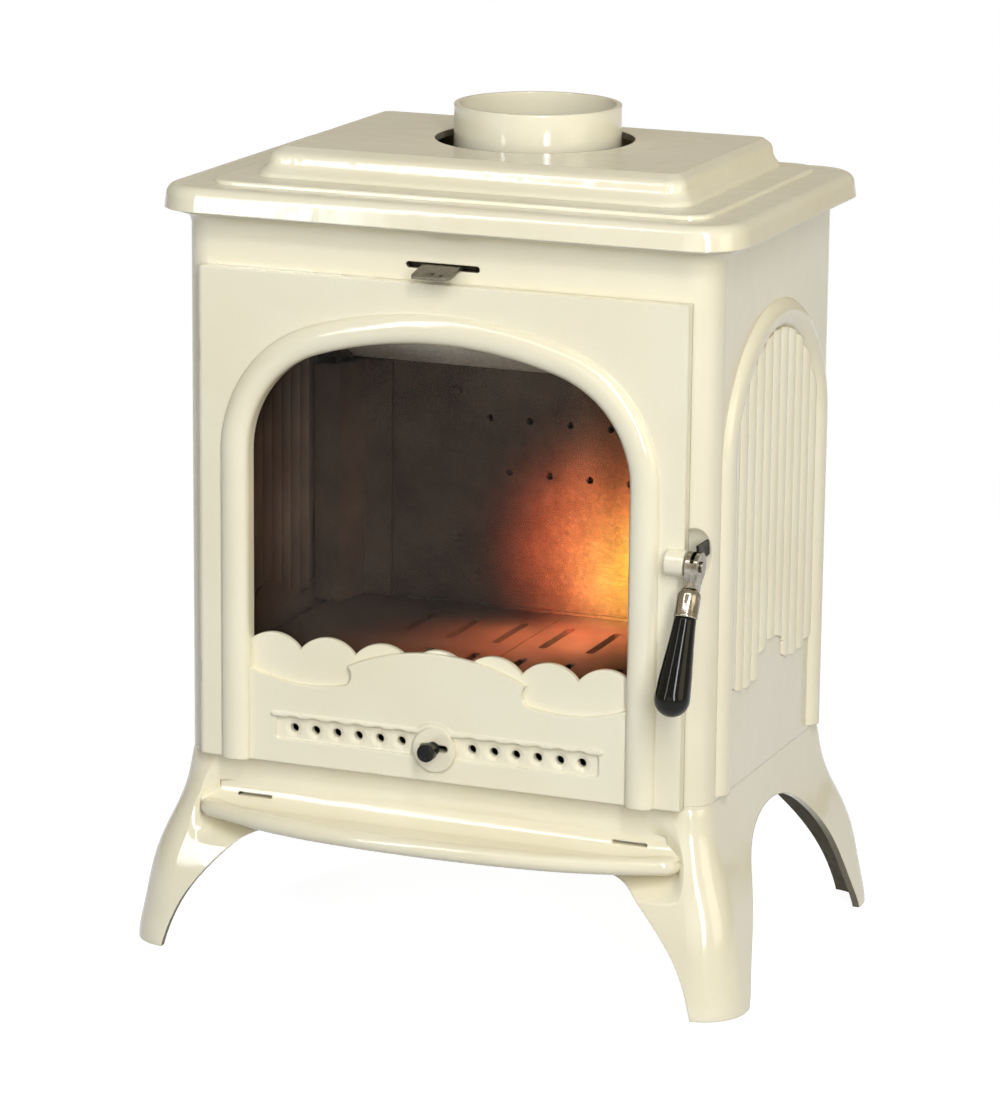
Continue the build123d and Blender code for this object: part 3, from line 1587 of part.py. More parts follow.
with BuildPart() as air_wash_guides:
    for edge, side in ((wash_head, 1), (wash_foot, -1)):
        with BuildSketch(side_plane(-guide_half_length)):
            with Locations((frame_inside, edge + side * (guide_gap + guide_height / 2))):
                Rectangle(guide_back - frame_inside, guide_height, align=(Align.MIN, Align.CENTER))
            with Locations((guide_back, edge + side * (guide_gap - guide_lip) / 2)):
                Rectangle(guide_lip_thickness, guide_lip + guide_gap, align=(Align.MAX, Align.CENTER))
        extrude(amount=2 * guide_half_length)
    with BuildSketch(front_plane(guide_back)):
        for edge, side in ((wash_head, 1), (wash_foot, -1)):
            screw_height = edge + side * (guide_gap + guide_height / 2)
            with Locations((-guide_screw_x, screw_height), (guide_screw_x, screw_height)):
                Circle(guide_screw_radius)
    extrude(amount=2 * frame_wall, mode=Mode.SUBTRACT)

save(air_wash_guides.part, "air_wash_guides")

# Handle: forked head, ferrule and grip in a line that leans out at rest
fork_radius = 12.5
fork_left = door_half_width + 6.6
fork_left_cheek = 4.4
fork_right_cheek = 3.2
fork_width = 11.2
fork_shank_start = 15.0
fork_shank_half = 6.5
fork_slot_floor = 3.6
fork_slot_tilt = 16.0
fork_play = 0.3
bolt_head_radius = 4.8
bolt_head_height = 1.6
ferrule_start = 20.0
ferrule_length = 25.0
ferrule_radius = 10.3
ferrule_shoulder = 7.0
ferrule_top_radius = 5.5
grip_start_radius = 9.5
grip_hollow = 1.2
grip_start = ferrule_start + ferrule_length
lean = radians(handle_lean)
handle_axis = (0, -sin(lean), -cos(lean))
handle_pivot = (handle_x, door_face - handle_pivot_out, handle_pivot_z)
fork_plane = Plane(
    origin=(fork_left, door_face - handle_pivot_out, handle_pivot_z),
    x_dir=(0, -sin(lean), -cos(lean)),
    z_dir=(1, 0, 0),
)
turning_plane = Plane(origin=handle_pivot, x_dir=(1, 0, 0), z_dir=(0, cos(lean), -sin(lean)))

with BuildPart() as handle_bolt:
    with BuildSketch(side_plane(bolt_left)):
        with Locations((door_face - handle_pivot_out, handle_pivot_z)):
            Circle(bolt_radius)
    extrude(amount=fork_left + fork_width + fork_play - bolt_left)
    with BuildSketch(side_plane(fork_left + fork_width + fork_play)):
        with Locations((door_face - handle_pivot_out, handle_pivot_z)):
            Circle(bolt_head_radius)
    extrude(amount=bolt_head_height)

save(handle_bolt.part, "handle_bolt")

with BuildPart() as handle_fork:
    with BuildSketch(fork_plane):
        Circle(fork_radius)
        with BuildLine():
            Polyline(
                (0, fork_radius),
                (fork_shank_start, fork_shank_half),
                (ferrule_start, fork_shank_half),
                (ferrule_start, -fork_shank_half),
                (fork_shank_start, -fork_shank_half),
                (0, -fork_radius),
                (0, fork_radius),
            )
        make_face()
        Circle(bolt_radius + pin_clearance, mode=Mode.SUBTRACT)
    extrude(amount=fork_width)
    # Slot in the head, so that the raised handle clears the catch and the front stays solid
    with BuildSketch(fork_plane.offset(fork_left_cheek)):
        slot_turn = radians(fork_slot_tilt)
        with Locations((-fork_slot_floor * cos(slot_turn), -fork_slot_floor * sin(slot_turn))):
            Rectangle(
                2 * fork_radius,
                4 * fork_radius,
                rotation=fork_slot_tilt,
                align=(Align.MAX, Align.CENTER),
            )
    extrude(amount=fork_width - fork_left_cheek - fork_right_cheek, mode=Mode.SUBTRACT)

save(handle_fork.part, "handle_fork")

with BuildPart() as handle_ferrule:
    with BuildSketch(turning_plane):
        with BuildLine():
            Line((0, ferrule_start), (ferrule_top_radius, ferrule_start))
            shoulder_run = ferrule_radius - ferrule_top_radius
            ThreePointArc(
                (ferrule_top_radius, ferrule_start),
                (
                    ferrule_top_radius + shoulder_run * sqrt(0.5),
                    ferrule_start + ferrule_shoulder * (1 - sqrt(0.5)),
                ),
                (ferrule_radius, ferrule_start + ferrule_shoulder),
            )
            Polyline(
                (ferrule_radius, ferrule_start + ferrule_shoulder),
                (ferrule_radius, grip_start),
                (0, grip_start),
                (0, ferrule_start),
            )
        make_face()
    revolve(axis=Axis(handle_pivot, handle_axis))

save(handle_ferrule.part, "handle_ferrule")

with BuildPart() as handle_grip:
    with BuildSketch(turning_plane):
        with BuildLine():
            Line((0, grip_start), (grip_start_radius, grip_start))
            ThreePointArc(
                (grip_start_radius, grip_start),
                ((grip_start_radius + grip_end_radius) / 2 - grip_hollow, (grip_start + grip_ball) / 2),
                (grip_end_radius, grip_ball),
            )
            ThreePointArc(
                (grip_end_radius, grip_ball),
                (grip_end_radius * sqrt(0.5), grip_ball + grip_end_radius * sqrt(0.5)),
                (0, handle_length),
            )
            Line((0, handle_length), (0, grip_start))
        make_face()
    revolve(axis=Axis(handle_pivot, handle_axis))

save(handle_grip.part, "handle_grip")
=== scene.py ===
import json
import math

import bmesh
import bpy
from mathutils import Matrix, Vector


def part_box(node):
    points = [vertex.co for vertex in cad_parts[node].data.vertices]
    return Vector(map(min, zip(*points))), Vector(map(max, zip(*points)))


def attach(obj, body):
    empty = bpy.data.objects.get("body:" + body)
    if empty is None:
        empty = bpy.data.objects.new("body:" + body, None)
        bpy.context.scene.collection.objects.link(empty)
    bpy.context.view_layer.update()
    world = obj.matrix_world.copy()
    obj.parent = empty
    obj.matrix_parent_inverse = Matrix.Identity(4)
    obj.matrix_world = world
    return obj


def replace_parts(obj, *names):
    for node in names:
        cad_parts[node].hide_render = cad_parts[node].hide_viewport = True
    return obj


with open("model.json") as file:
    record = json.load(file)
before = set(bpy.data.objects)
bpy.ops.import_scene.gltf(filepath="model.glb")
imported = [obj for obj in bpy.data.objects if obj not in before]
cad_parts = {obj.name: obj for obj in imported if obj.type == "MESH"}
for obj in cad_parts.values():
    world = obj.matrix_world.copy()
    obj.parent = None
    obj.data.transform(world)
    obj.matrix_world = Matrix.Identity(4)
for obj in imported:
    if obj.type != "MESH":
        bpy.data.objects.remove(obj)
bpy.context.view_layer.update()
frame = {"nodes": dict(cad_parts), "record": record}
cad = frame["nodes"]
print("frame loaded:", len(cad), "nodes")


def newObject(name, data):
    thing = bpy.data.objects.new(name, data)
    bpy.context.scene.collection.objects.link(thing)
    return thing


# The photograph's camera, in metres and degrees
camera = {
    "place": (1.5225, -3.78216, 1.3469),
    "yaw": 21.9605,
    "pitch": 13.7378,
    "roll": 0.5654,
    "lens": 153.27,  # millimetres, as is the sensor's width
    "sensor": 36,
    "clipEnd": 60,
}


def makeCamera(values):
    yaw, pitch, roll = (math.radians(values[key]) for key in ("yaw", "pitch", "roll"))
    forward = Vector((-math.sin(yaw) * math.cos(pitch), math.cos(yaw) * math.cos(pitch), -math.sin(pitch)))
    side = Vector((math.cos(yaw), math.sin(yaw), 0))
    up = side.cross(forward)
    rolledSide = math.cos(roll) * side + math.sin(roll) * up
    rolledUp = math.cos(roll) * up - math.sin(roll) * side
    turn = Matrix((rolledSide, rolledUp, -forward)).transposed().to_4x4()
    data = bpy.data.cameras.new("camera")
    data.lens = values["lens"]
    data.sensor_width = values["sensor"]
    data.clip_end = values["clipEnd"]
    shot = newObject("camera", data)
    shot.matrix_world = Matrix.Translation(values["place"]) @ turn
    bpy.context.scene.camera = shot


makeCamera(camera)
bpy.context.scene.view_settings.view_transform = "Standard"
print("camera placed")


# Short forms for building node trees
def addNode(tree, kind, settings=None, values=None, links=None):
    node = tree.nodes.new(kind)
    for name, value in (settings or {}).items():
        setattr(node, name, value)
    for name, value in (values or {}).items():
        node.inputs[name].default_value = value
    for name, source in (links or {}).items():
        tree.links.new(source, node.inputs[name])
    return node


def calc(tree, operation, *terms):
    node = tree.nodes.new("ShaderNodeMath")
    node.operation = operation
    for index, term in enumerate(terms):
        if isinstance(term, (int, float)):
            node.inputs[index].default_value = term
        else:
            tree.links.new(term, node.inputs[index])
    return node.outputs[0]


def weigh(tree, first, second, shares):
    weighed = [calc(tree, "MULTIPLY", term, share) for term, share in zip((first, second), shares)]
    return calc(tree, "ADD", *weighed)


def vectorCalc(tree, operation, first, second=None):
    node = addNode(tree, "ShaderNodeVectorMath", {"operation": operation}, links={0: first})
    if isinstance(second, tuple):
        node.inputs[1].default_value = second
    elif second is not None:
        tree.links.new(second, node.inputs[1])
    return node.outputs["Value" if operation in ("LENGTH", "DOT_PRODUCT") else "Vector"]


def split(tree, vector):
    return addNode(tree, "ShaderNodeSeparateXYZ", links={0: vector}).outputs


def fade(tree, value, low, high, start=0.0, end=1.0):
    settings = {"interpolation_type": "SMOOTHSTEP"}
    values = {"From Min": low, "From Max": high, "To Min": start, "To Max": end}
    return addNode(tree, "ShaderNodeMapRange", settings, values, {"Value": value}).outputs[0]


usualNoise = (0.3, 0.7)  # a noise mostly stays between these


def noise(tree, place, scale, detail=2.0, roughness=0.5):
    values = {"Scale": scale, "Detail": detail, "Roughness": roughness}
    return addNode(tree, "ShaderNodeTexNoise", None, values, {"Vector": place}).outputs["Fac"]


def relief(tree, place, scale, detail, height):
    return calc(tree, "MULTIPLY", noise(tree, place, scale, detail), height)


def blendColour(tree, share, first, second):
    node = addNode(tree, "ShaderNodeMix", {"data_type": "RGBA"})
    for socket, term in ((node.inputs[0], share), (node.inputs[6], first), (node.inputs[7], second)):
        if isinstance(term, tuple):
            socket.default_value = (*term, 1)
        else:
            tree.links.new(term, socket)
    return node.outputs[2]


def blendValue(tree, share, first, second):
    step = calc(tree, "MULTIPLY", share, calc(tree, "SUBTRACT", second, first))
    return calc(tree, "ADD", first, step)


def blendShader(tree, share, first, second):
    return addNode(tree, "ShaderNodeMixShader", links={0: share, 1: first, 2: second}).outputs[0]


def shapeNormal(tree, height, radius):
    soft = addNode(tree, "ShaderNodeBevel", {"samples": 5}, {"Radius": radius})
    values = {"Strength": 1.0, "Distance": 1.0}
    links = {"Height": height, "Normal": soft.outputs[0]}
    return addNode(tree, "ShaderNodeBump", None, values, links).outputs[0]


def newPaint(name):
    paint = bpy.data.materials.new(name)
    paint.use_nodes = True
    tree = paint.node_tree
    return paint, tree, tree.nodes["Principled BSDF"], tree.nodes.new("ShaderNodeTexCoord")


def dress(tree, shader, colour, rough, normal):
    for name, source in (("Base Color", colour), ("Roughness", rough), ("Normal", normal)):
        tree.links.new(source, shader.inputs[name])


# Studio: tall boxes left and right, a strip overhead and soft fill, on a white floor that keeps the shadow
studio = {
    "floorSize": 14.0,
    "floorDrop": 0.0008,
    "floorTone": 0.36,
    "floorGlow": 0.94,
    "shadowReach": (0.9, 2.0),
    "airRise": (0.0, 0.9),  # from the horizon up, the strength goes from one value below to the other
    "airStrength": (0.05, 0.03),
    "mirrorTone": (0.62, 0.55, 0.42),  # what the enamel and the metals mirror
    "lamps": {
        # name: place, aimed at, width, height, watts, colour
        "rightBox": ((2.39, -3.45, 2.6), (0, 0, 0.55), 0.55, 4.0, 163, (0.98, 1.00, 1.03)),
        "leftBox": ((-1.77, -3.54, 2.4), (0, 0, 0.55), 0.36, 3.6, 36, (0.98, 1.00, 1.03)),
        "overheadStrip": ((0.3, -2.3, 3.1), (0, 0, 0.55), 2.8, 0.10, 16, (0.98, 1.00, 1.00)),
        "frontSoft": ((0.4, -4.2, 1.3), (0, 0, 0.40), 2.4, 1.8, 11, (1.00, 0.99, 0.97)),
        "sideSoft": ((3.7, -0.9, 1.5), (0, 0, 0.40), 2.0, 2.0, 26, (1.00, 0.88, 0.64)),
        "backSoft": ((-1.6, 4.2, 0.8), (0, 0, 0.40), 2.2, 2.0, 70, (1.00, 0.97, 0.90)),
    },
}


def makeAir(values):
    world = bpy.data.worlds.new("studioAir")
    bpy.context.scene.world = world
    world.use_nodes = True
    tree = world.node_tree
    tree.nodes.clear()
    height = split(tree, addNode(tree, "ShaderNodeTexCoord").outputs["Generated"])["Z"]
    strength = fade(tree, height, *values["airRise"], *values["airStrength"])
    white = {"Color": (1, 1, 1, 1), "Strength": 1.0}
    warm = {"Color": (*values["mirrorTone"], 1), "Strength": 1.0}
    shaders = [addNode(tree, "ShaderNodeBackground", None, tone) for tone in (white, white, warm)]
    lit, seenWhite, mirrored = (shader.outputs[0] for shader in shaders)
    tree.links.new(strength, shaders[0].inputs["Strength"])
    rays = addNode(tree, "ShaderNodeLightPath").outputs
    seen = calc(tree, "MAXIMUM", rays["Is Camera Ray"], rays["Is Transmission Ray"])
    mix = blendShader(tree, rays["Is Glossy Ray"], lit, mirrored)
    mix = blendShader(tree, seen, mix, seenWhite)
    addNode(tree, "ShaderNodeOutputWorld", links={0: mix})


def aimLamp(name, data, place, aim):
    lamp = newObject(name, data)
    turn = (Vector(aim) - Vector(place)).to_track_quat("-Z", "Y").to_matrix().to_4x4()
    lamp.matrix_world = Matrix.Translation(place) @ turn
    lamp.visible_camera = False
    return lamp


def makeLamps(values):
    for name, (place, aim, width, height, watts, colour) in values["lamps"].items():
        data = bpy.data.lights.new(name, "AREA")
        data.shape = "RECTANGLE"
        data.size = width
        data.size_y = height
        data.energy = watts
        data.color = colour
        lamp = aimLamp(name, data, place, aim)
        lamp.visible_glossy = place[1] < 0  # the one behind isn't mirrored in the top plate


def makeFloor(values):
    half = values["floorSize"] / 2
    low = -values["floorDrop"]
    corners = [(-half, -half, low), (half, -half, low), (half, half, low), (-half, half, low)]
    mesh = bpy.data.meshes.new("floor")
    mesh.from_pydata(corners, [], [(0, 1, 2, 3)])
    floor = newObject("floor", mesh)
    paint = bpy.data.materials.new("paleFloor")
    paint.use_nodes = True
    tree = paint.node_tree
    tree.nodes.clear()
    rays = addNode(tree, "ShaderNodeLightPath").outputs
    away = vectorCalc(tree, "LENGTH", addNode(tree, "ShaderNodeTexCoord").outputs["Object"])
    matt = addNode(tree, "ShaderNodeBsdfDiffuse", values={"Color": (*[values["floorTone"]] * 3, 1)})
    seen = calc(tree, "ADD", rays["Is Camera Ray"], rays["Is Glossy Ray"])
    seen = calc(tree, "MAXIMUM", seen, rays["Is Transmission Ray"])
    lift = calc(tree, "MULTIPLY", seen, values["floorGlow"])
    glow = addNode(tree, "ShaderNodeEmission", links={"Strength": lift})
    near = addNode(tree, "ShaderNodeAddShader", links={0: matt.outputs[0], 1: glow.outputs[0]})
    white = addNode(tree, "ShaderNodeEmission")
    share = calc(tree, "MULTIPLY", fade(tree, away, *values["shadowReach"]), seen)
    mix = blendShader(tree, share, near.outputs[0], white.outputs[0])
    addNode(tree, "ShaderNodeOutputMaterial", links={0: mix})
    mesh.materials.append(paint)


makeAir(studio)
makeLamps(studio)
makeFloor(studio)
print("studio lit")

# The stove's box, for telling its enamelled outside from its bare inside. Where two numbers stand
# together, the finish changes between them: places, radii and depths in metres, or a normal's share.
shell = {
    "halfWidth": 0.2469,
    "front": -0.143655,
    "back": 0.182645,
    "corner": 0.025,
    "bareUnder": (-0.0024, -0.0012),
    "hollow": (0.2400, -0.162355, 0.4000),
    "hollowRim": (0.0345, 0.0360),
    "legInward": (-0.35, -0.15),
    "legInside": (-0.0105, -0.0090),
    "doorBack": (-0.1447, -0.1442),
    "topUnder": (-0.5, -0.3),
    "topFoot": (0.6640, 0.6650),
    "flueMiddle": 0.067645,
    "flueRim": (0.0893, 0.0899),
    "collarMiddle": 0.074045,
    "collarInward": (-0.4, -0.2),
    "collarBare": (0.690, 0.722),
}


def depthOutside(tree, place):
    spot = split(tree, place)
    middle = (shell["front"] + shell["back"]) / 2
    halfDepth = (shell["back"] - shell["front"]) / 2
    across = calc(tree, "ABSOLUTE", spot["X"])
    across = calc(tree, "SUBTRACT", across, shell["halfWidth"] - shell["corner"])
    along = calc(tree, "ABSOLUTE", calc(tree, "SUBTRACT", spot["Y"], middle))
    along = calc(tree, "SUBTRACT", along, halfDepth - shell["corner"])
    outAcross = calc(tree, "MAXIMUM", across, 0.0)
    outAlong = calc(tree, "MAXIMUM", along, 0.0)
    squares = [calc(tree, "MULTIPLY", out, out) for out in (outAcross, outAlong)]
    outer = calc(tree, "SQRT", calc(tree, "ADD", *squares))
    inner = calc(tree, "MINIMUM", calc(tree, "MAXIMUM", across, along), 0.0)
    return calc(tree, "SUBTRACT", calc(tree, "ADD", outer, inner), shell["corner"])


def awayFrom(tree, place, centre, flat=False):
    moved = vectorCalc(tree, "SUBTRACT", place, centre)
    if flat:
        moved = vectorCalc(tree, "MULTIPLY", moved, (1, 1, 0))
    return moved, vectorCalc(tree, "LENGTH", moved)


def facing(tree, normal, direction):
    return vectorCalc(tree, "DOT_PRODUCT", normal, vectorCalc(tree, "NORMALIZE", direction))


def bareInBox(tree, place, normal):
    return fade(tree, depthOutside(tree, place), *shell["bareUnder"], 1.0, 0.0)


def bareInFrame(tree, place, normal):
    away = awayFrom(tree, place, shell["hollow"])[1]
    outside = fade(tree, away, *shell["hollowRim"])
    return calc(tree, "MULTIPLY", bareInBox(tree, place, normal), outside)


def bareInBase(tree, place, normal):
    middle = (0.0, (shell["front"] + shell["back"]) / 2, 0.0)
    outward = awayFrom(tree, place, middle, flat=True)[0]
    inward = fade(tree, facing(tree, normal, outward), *shell["legInward"], 1.0, 0.0)
    deep = fade(tree, depthOutside(tree, place), *shell["legInside"], 1.0, 0.0)
    return calc(tree, "MAXIMUM", inward, deep)


def bareInDoor(tree, place, normal):
    return fade(tree, split(tree, place)["Y"], *shell["doorBack"])


def bareInTop(tree, place, normal):
    under = fade(tree, split(tree, normal)["Z"], *shell["topUnder"], 1.0, 0.0)
    away = awayFrom(tree, place, (0.0, shell["flueMiddle"], 0.0), flat=True)[1]
    hole = fade(tree, away, *shell["flueRim"], 1.0, 0.0)
    foot = fade(tree, split(tree, place)["Z"], *shell["topFoot"], 1.0, 0.0)
    return calc(tree, "MAXIMUM", calc(tree, "MAXIMUM", under, hole), foot)


def bareInCollar(tree, place, normal):
    outward = awayFrom(tree, place, (0.0, shell["collarMiddle"], 0.0), flat=True)[0]
    inward = fade(tree, facing(tree, normal, outward), *shell["collarInward"], 1.0, 0.0)
    low = fade(tree, split(tree, place)["Z"], *shell["collarBare"], 1.0, 0.0)
    return calc(tree, "MULTIPLY", inward, low)


# Gloss enamel over cast iron. A noise is given as scale, detail and roughness, and a relief as
# scale, detail and height in metres.
enamel = {
    "ivory": (0.850, 0.795, 0.610),
    "cream": (0.810, 0.740, 0.535),
    "cloud": (7.0, 3.0),
    "freckle": (620.0, 2.0),
    "shares": (0.8, 0.3),
    "toneFrom": (0.30, 0.85),
    "shine": (45.0, 3.0),
    "roughness": (0.07, 0.15),
    "gloss": 0.85,
    "edgeRadius": 0.0017,
    "doorEdgeRadius": 0.0026,
    "peel": (420.0, 1.0, 0.000022),
    "wave": (34.0, 1.0, 0.00040),
}

# The bare casting, and a thin sprayed coat for the bare parts of the base, the top plate and the collar
iron = {
    "dark": (0.038, 0.028, 0.020),
    "light": (0.098, 0.071, 0.051),
    "cloud": (14.0, 5.0, 0.65),
    "speck": (260.0, 3.0, 0.6),
    "speckFrom": (0.2, 0.8),
    "shares": (0.7, 0.5),
    "toneFrom": (0.35, 0.85),
    "roughness": (0.55, 0.85),
    "gloss": 0.35,
    "edgeRadius": 0.0010,
    "grain": (900.0, 2.0, 0.00016),
    "pits": (170.0, 4.0, 0.00045),
}
sprayed = {**iron, "dark": (0.085, 0.074, 0.047), "light": (0.250, 0.222, 0.155)}


def ironParts(tree, place, values):
    speck = noise(tree, place, *values["speck"])
    tone = weigh(tree, noise(tree, place, *values["cloud"]), speck, values["shares"])
    colour = blendColour(tree, fade(tree, tone, *values["toneFrom"]), values["dark"], values["light"])
    rough = fade(tree, speck, *values["speckFrom"], *values["roughness"])
    height = calc(tree, "ADD", relief(tree, place, *values["grain"]), relief(tree, place, *values["pits"]))
    return colour, rough, height


def enamelParts(tree, place, values):
    cloud, freckle, shine = (noise(tree, place, *values[key]) for key in ("cloud", "freckle", "shine"))
    tone = weigh(tree, cloud, freckle, values["shares"])
    colour = blendColour(tree, fade(tree, tone, *values["toneFrom"]), values["ivory"], values["cream"])
    rough = fade(tree, shine, *usualNoise, *values["roughness"])
    height = calc(tree, "ADD", relief(tree, place, *values["peel"]), relief(tree, place, *values["wave"]))
    return colour, rough, height


def newEnamel(name, bareWhere, bareFinish, edge):
    paint, tree, shader, coord = newPaint(name)
    place = coord.outputs["Object"]
    colour, rough, height = enamelParts(tree, place, enamel)
    bare = bareWhere(tree, place, coord.outputs["Normal"])
    ironColour, ironRough, ironHeight = ironParts(tree, place, bareFinish)
    colour = blendColour(tree, bare, colour, ironColour)
    rough = blendValue(tree, bare, rough, ironRough)
    height = blendValue(tree, bare, height, ironHeight)
    dress(tree, shader, colour, rough, shapeNormal(tree, height, edge))
    shader.inputs["Specular IOR Level"].default_value = enamel["gloss"]
    return paint


def newIron(name, values):
    paint, tree, shader, coord = newPaint(name)
    colour, rough, height = ironParts(tree, coord.outputs["Object"], values)
    dress(tree, shader, colour, rough, shapeNormal(tree, height, values["edgeRadius"]))
    shader.inputs["Specular IOR Level"].default_value = values["gloss"]
    return paint


# Steels, and the brushing that all of them share
steels = {
    # slot: dark, light, roughness, stretch of the brush lines
    "fixing_steel": ((0.16, 0.15, 0.14), (0.34, 0.33, 0.31), (0.28, 0.45), (90, 90, 90)),
    "dark_steel": ((0.012, 0.010, 0.008), (0.045, 0.038, 0.032), (0.30, 0.55), (140, 140, 140)),
    "lever_steel": ((0.125, 0.112, 0.090), (0.30, 0.275, 0.23), (0.34, 0.50), (700, 40, 700)),
    # bright_steel's dark base and its dark and light patches are partly painted reflection, of a dark
    # studio mirrored in the chrome
    "bright_steel": ((0.210, 0.190, 0.150), (0.420, 0.390, 0.330), (0.12, 0.20), (60, 60, 40)),
    # pan_steel is near black partly as painted shade, so that the grate's slots stay dark
    "pan_steel": ((0.012, 0.011, 0.010), (0.035, 0.032, 0.030), (0.40, 0.65), (60, 60, 60)),
}
brushing = {
    "cloud": (1.0, 4.0, 0.6),
    "fine": (7.0, 2.0),
    "shares": (0.7, 0.3),
    "toneFrom": (0.35, 0.68),
    "height": 0.00018,
    "edgeRadius": 0.0006,
}


def newSteel(name, dark, light, roughness, stretch):
    paint, tree, shader, coord = newPaint(name)
    links = {"Vector": coord.outputs["Object"]}
    place = addNode(tree, "ShaderNodeMapping", values={"Scale": stretch}, links=links).outputs[0]
    cloud = noise(tree, place, *brushing["cloud"])
    share = weigh(tree, cloud, noise(tree, place, *brushing["fine"]), brushing["shares"])
    colour = blendColour(tree, fade(tree, share, *brushing["toneFrom"]), dark, light)
    rough = fade(tree, cloud, *usualNoise, *roughness)
    height = calc(tree, "MULTIPLY", share, brushing["height"])
    dress(tree, shader, colour, rough, shapeNormal(tree, height, brushing["edgeRadius"]))
    shader.inputs["Metallic"].default_value = 1.0
    return paint


# Black turned grip and knob
blacks = {
    # slot: dark, light, roughness, gloss, height of the relief
    "grip": ((0.0020, 0.0019, 0.0017), (0.0050, 0.0048, 0.0042), (0.08, 0.12), 0.22, 0.000005),
    "knob": ((0.0055, 0.0053, 0.0050), (0.016, 0.015, 0.0145), (0.20, 0.34), 0.18, 0.00002),
}
polish = {"cloud": (120.0, 4.0), "relief": (260.0, 1.0), "edgeRadius": 0.0005}


def newBlack(name, dark, light, roughness, gloss, height):
    paint, tree, shader, coord = newPaint(name)
    place = coord.outputs["Object"]
    cloud = noise(tree, place, *polish["cloud"])
    colour = blendColour(tree, fade(tree, cloud, *usualNoise), dark, light)
    rough = fade(tree, cloud, *usualNoise, *roughness)
    bumps = relief(tree, place, *polish["relief"], height)
    dress(tree, shader, colour, rough, shapeNormal(tree, bumps, polish["edgeRadius"]))
    shader.inputs["Specular IOR Level"].default_value = gloss
    return paint


# Fire-proof board of the baffle: pale flakes pressed together
board = {
    "dark": (0.21, 0.20, 0.175),
    "light": (0.45, 0.43, 0.385),
    "flake": 380.0,
    "cloud": (30.0, 3.0),
    "shares": (0.6, 0.5),
    "roughness": (0.8, 0.95),
    "height": 0.0004,
    "edgeRadius": 0.0015,
}


def newBoard(name, values):
    paint, tree, shader, coord = newPaint(name)
    place = coord.outputs["Object"]
    cells = addNode(tree, "ShaderNodeTexVoronoi", None, {"Scale": values["flake"]}, {"Vector": place})
    tone = addNode(tree, "ShaderNodeSeparateColor", links={0: cells.outputs["Color"]}).outputs[0]
    share = weigh(tree, tone, noise(tree, place, *values["cloud"]), values["shares"])
    colour = blendColour(tree, share, values["dark"], values["light"])
    rough = fade(tree, tone, 0.0, 1.0, *values["roughness"])
    height = calc(tree, "MULTIPLY", cells.outputs["Distance"], values["height"])
    dress(tree, shader, colour, rough, shapeNormal(tree, height, values["edgeRadius"]))
    return paint


# Door glass, tinted darker round its edges as painted shade
pane = {
    "clear": (0.93, 0.91, 0.88),
    "shadedEdge": (0.46, 0.39, 0.33),
    "shadedEdgeFrom": (0.135, 0.185),  # distance from the middle, sideways or up
    "cloud": (16.0, 5.0, 0.6),
    "cloudShift": 0.03,
    "index": 1.14,
}


def newGlass(name, values):
    paint, tree, shader, coord = newPaint(name)
    place = coord.outputs["Object"]
    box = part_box("door_glass")
    middle = tuple((low + high) / 2 for low, high in zip(*box))
    away = split(tree, vectorCalc(tree, "SUBTRACT", place, middle))
    reach = calc(tree, "MAXIMUM", calc(tree, "ABSOLUTE", away["X"]), calc(tree, "ABSOLUTE", away["Z"]))
    shift = calc(tree, "MULTIPLY", noise(tree, place, *values["cloud"]), values["cloudShift"])
    # painted shade: the glass's tint darkens towards its edges
    edgeShade = fade(tree, calc(tree, "ADD", reach, shift), *values["shadedEdgeFrom"])
    tree.links.new(blendColour(tree, edgeShade, values["clear"], values["shadedEdge"]), shader.inputs["Base Color"])
    shader.inputs["Roughness"].default_value = 0.0
    shader.inputs["Transmission Weight"].default_value = 1.0
    shader.inputs["IOR"].default_value = values["index"]
    return paint


# Glass-fibre rope and tape, and the weave that both share
fibres = {
    # slot: dark, light, scale of the weave
    "rope": ((0.030, 0.030, 0.031), (0.105, 0.102, 0.098), 900.0),
    "gasket": ((0.060, 0.058, 0.054), (0.17, 0.165, 0.155), 700.0),
}
weave = {
    "coarser": 3,  # how much wider the bands are than the fuzz
    "distortion": 2.0,
    "detail": 2.0,
    "fuzz": 3.0,
    "shares": (0.6, 0.5),
    "height": 0.0004,
}


def newFibre(name, dark, light, scale):
    paint, tree, shader, coord = newPaint(name)
    place = coord.outputs["Object"]
    settings = {"wave_type": "BANDS", "bands_direction": "DIAGONAL"}
    numbers = {"Distortion": weave["distortion"], "Detail": weave["detail"]}
    numbers["Scale"] = scale / weave["coarser"]
    bands = addNode(tree, "ShaderNodeTexWave", settings, numbers, {"Vector": place}).outputs["Fac"]
    share = weigh(tree, bands, noise(tree, place, scale, weave["fuzz"]), weave["shares"])
    links = {"Height": calc(tree, "MULTIPLY", share, weave["height"])}
    bump = addNode(tree, "ShaderNodeBump", values={"Distance": 1.0}, links=links)
    tree.links.new(blendColour(tree, share, dark, light), shader.inputs["Base Color"])
    tree.links.new(bump.outputs[0], shader.inputs["Normal"])
    shader.inputs["Roughness"].default_value = 0.9
    shader.inputs["Sheen Weight"].default_value = 0.3
    return paint


paints = {
    "bare_iron": newIron("bareIron", iron),
    "baffle_board": newBoard("baffleBoard", board),
    "glass": newGlass("doorGlass", pane),
}
for slot, values in steels.items():
    paints[slot] = newSteel(slot.replace("_steel", "Steel"), *values)
for slot, values in blacks.items():
    paints[slot] = newBlack(slot + "Black", *values)
for slot, values in fibres.items():
    paints[slot] = newFibre(slot + "Fibre", *values)

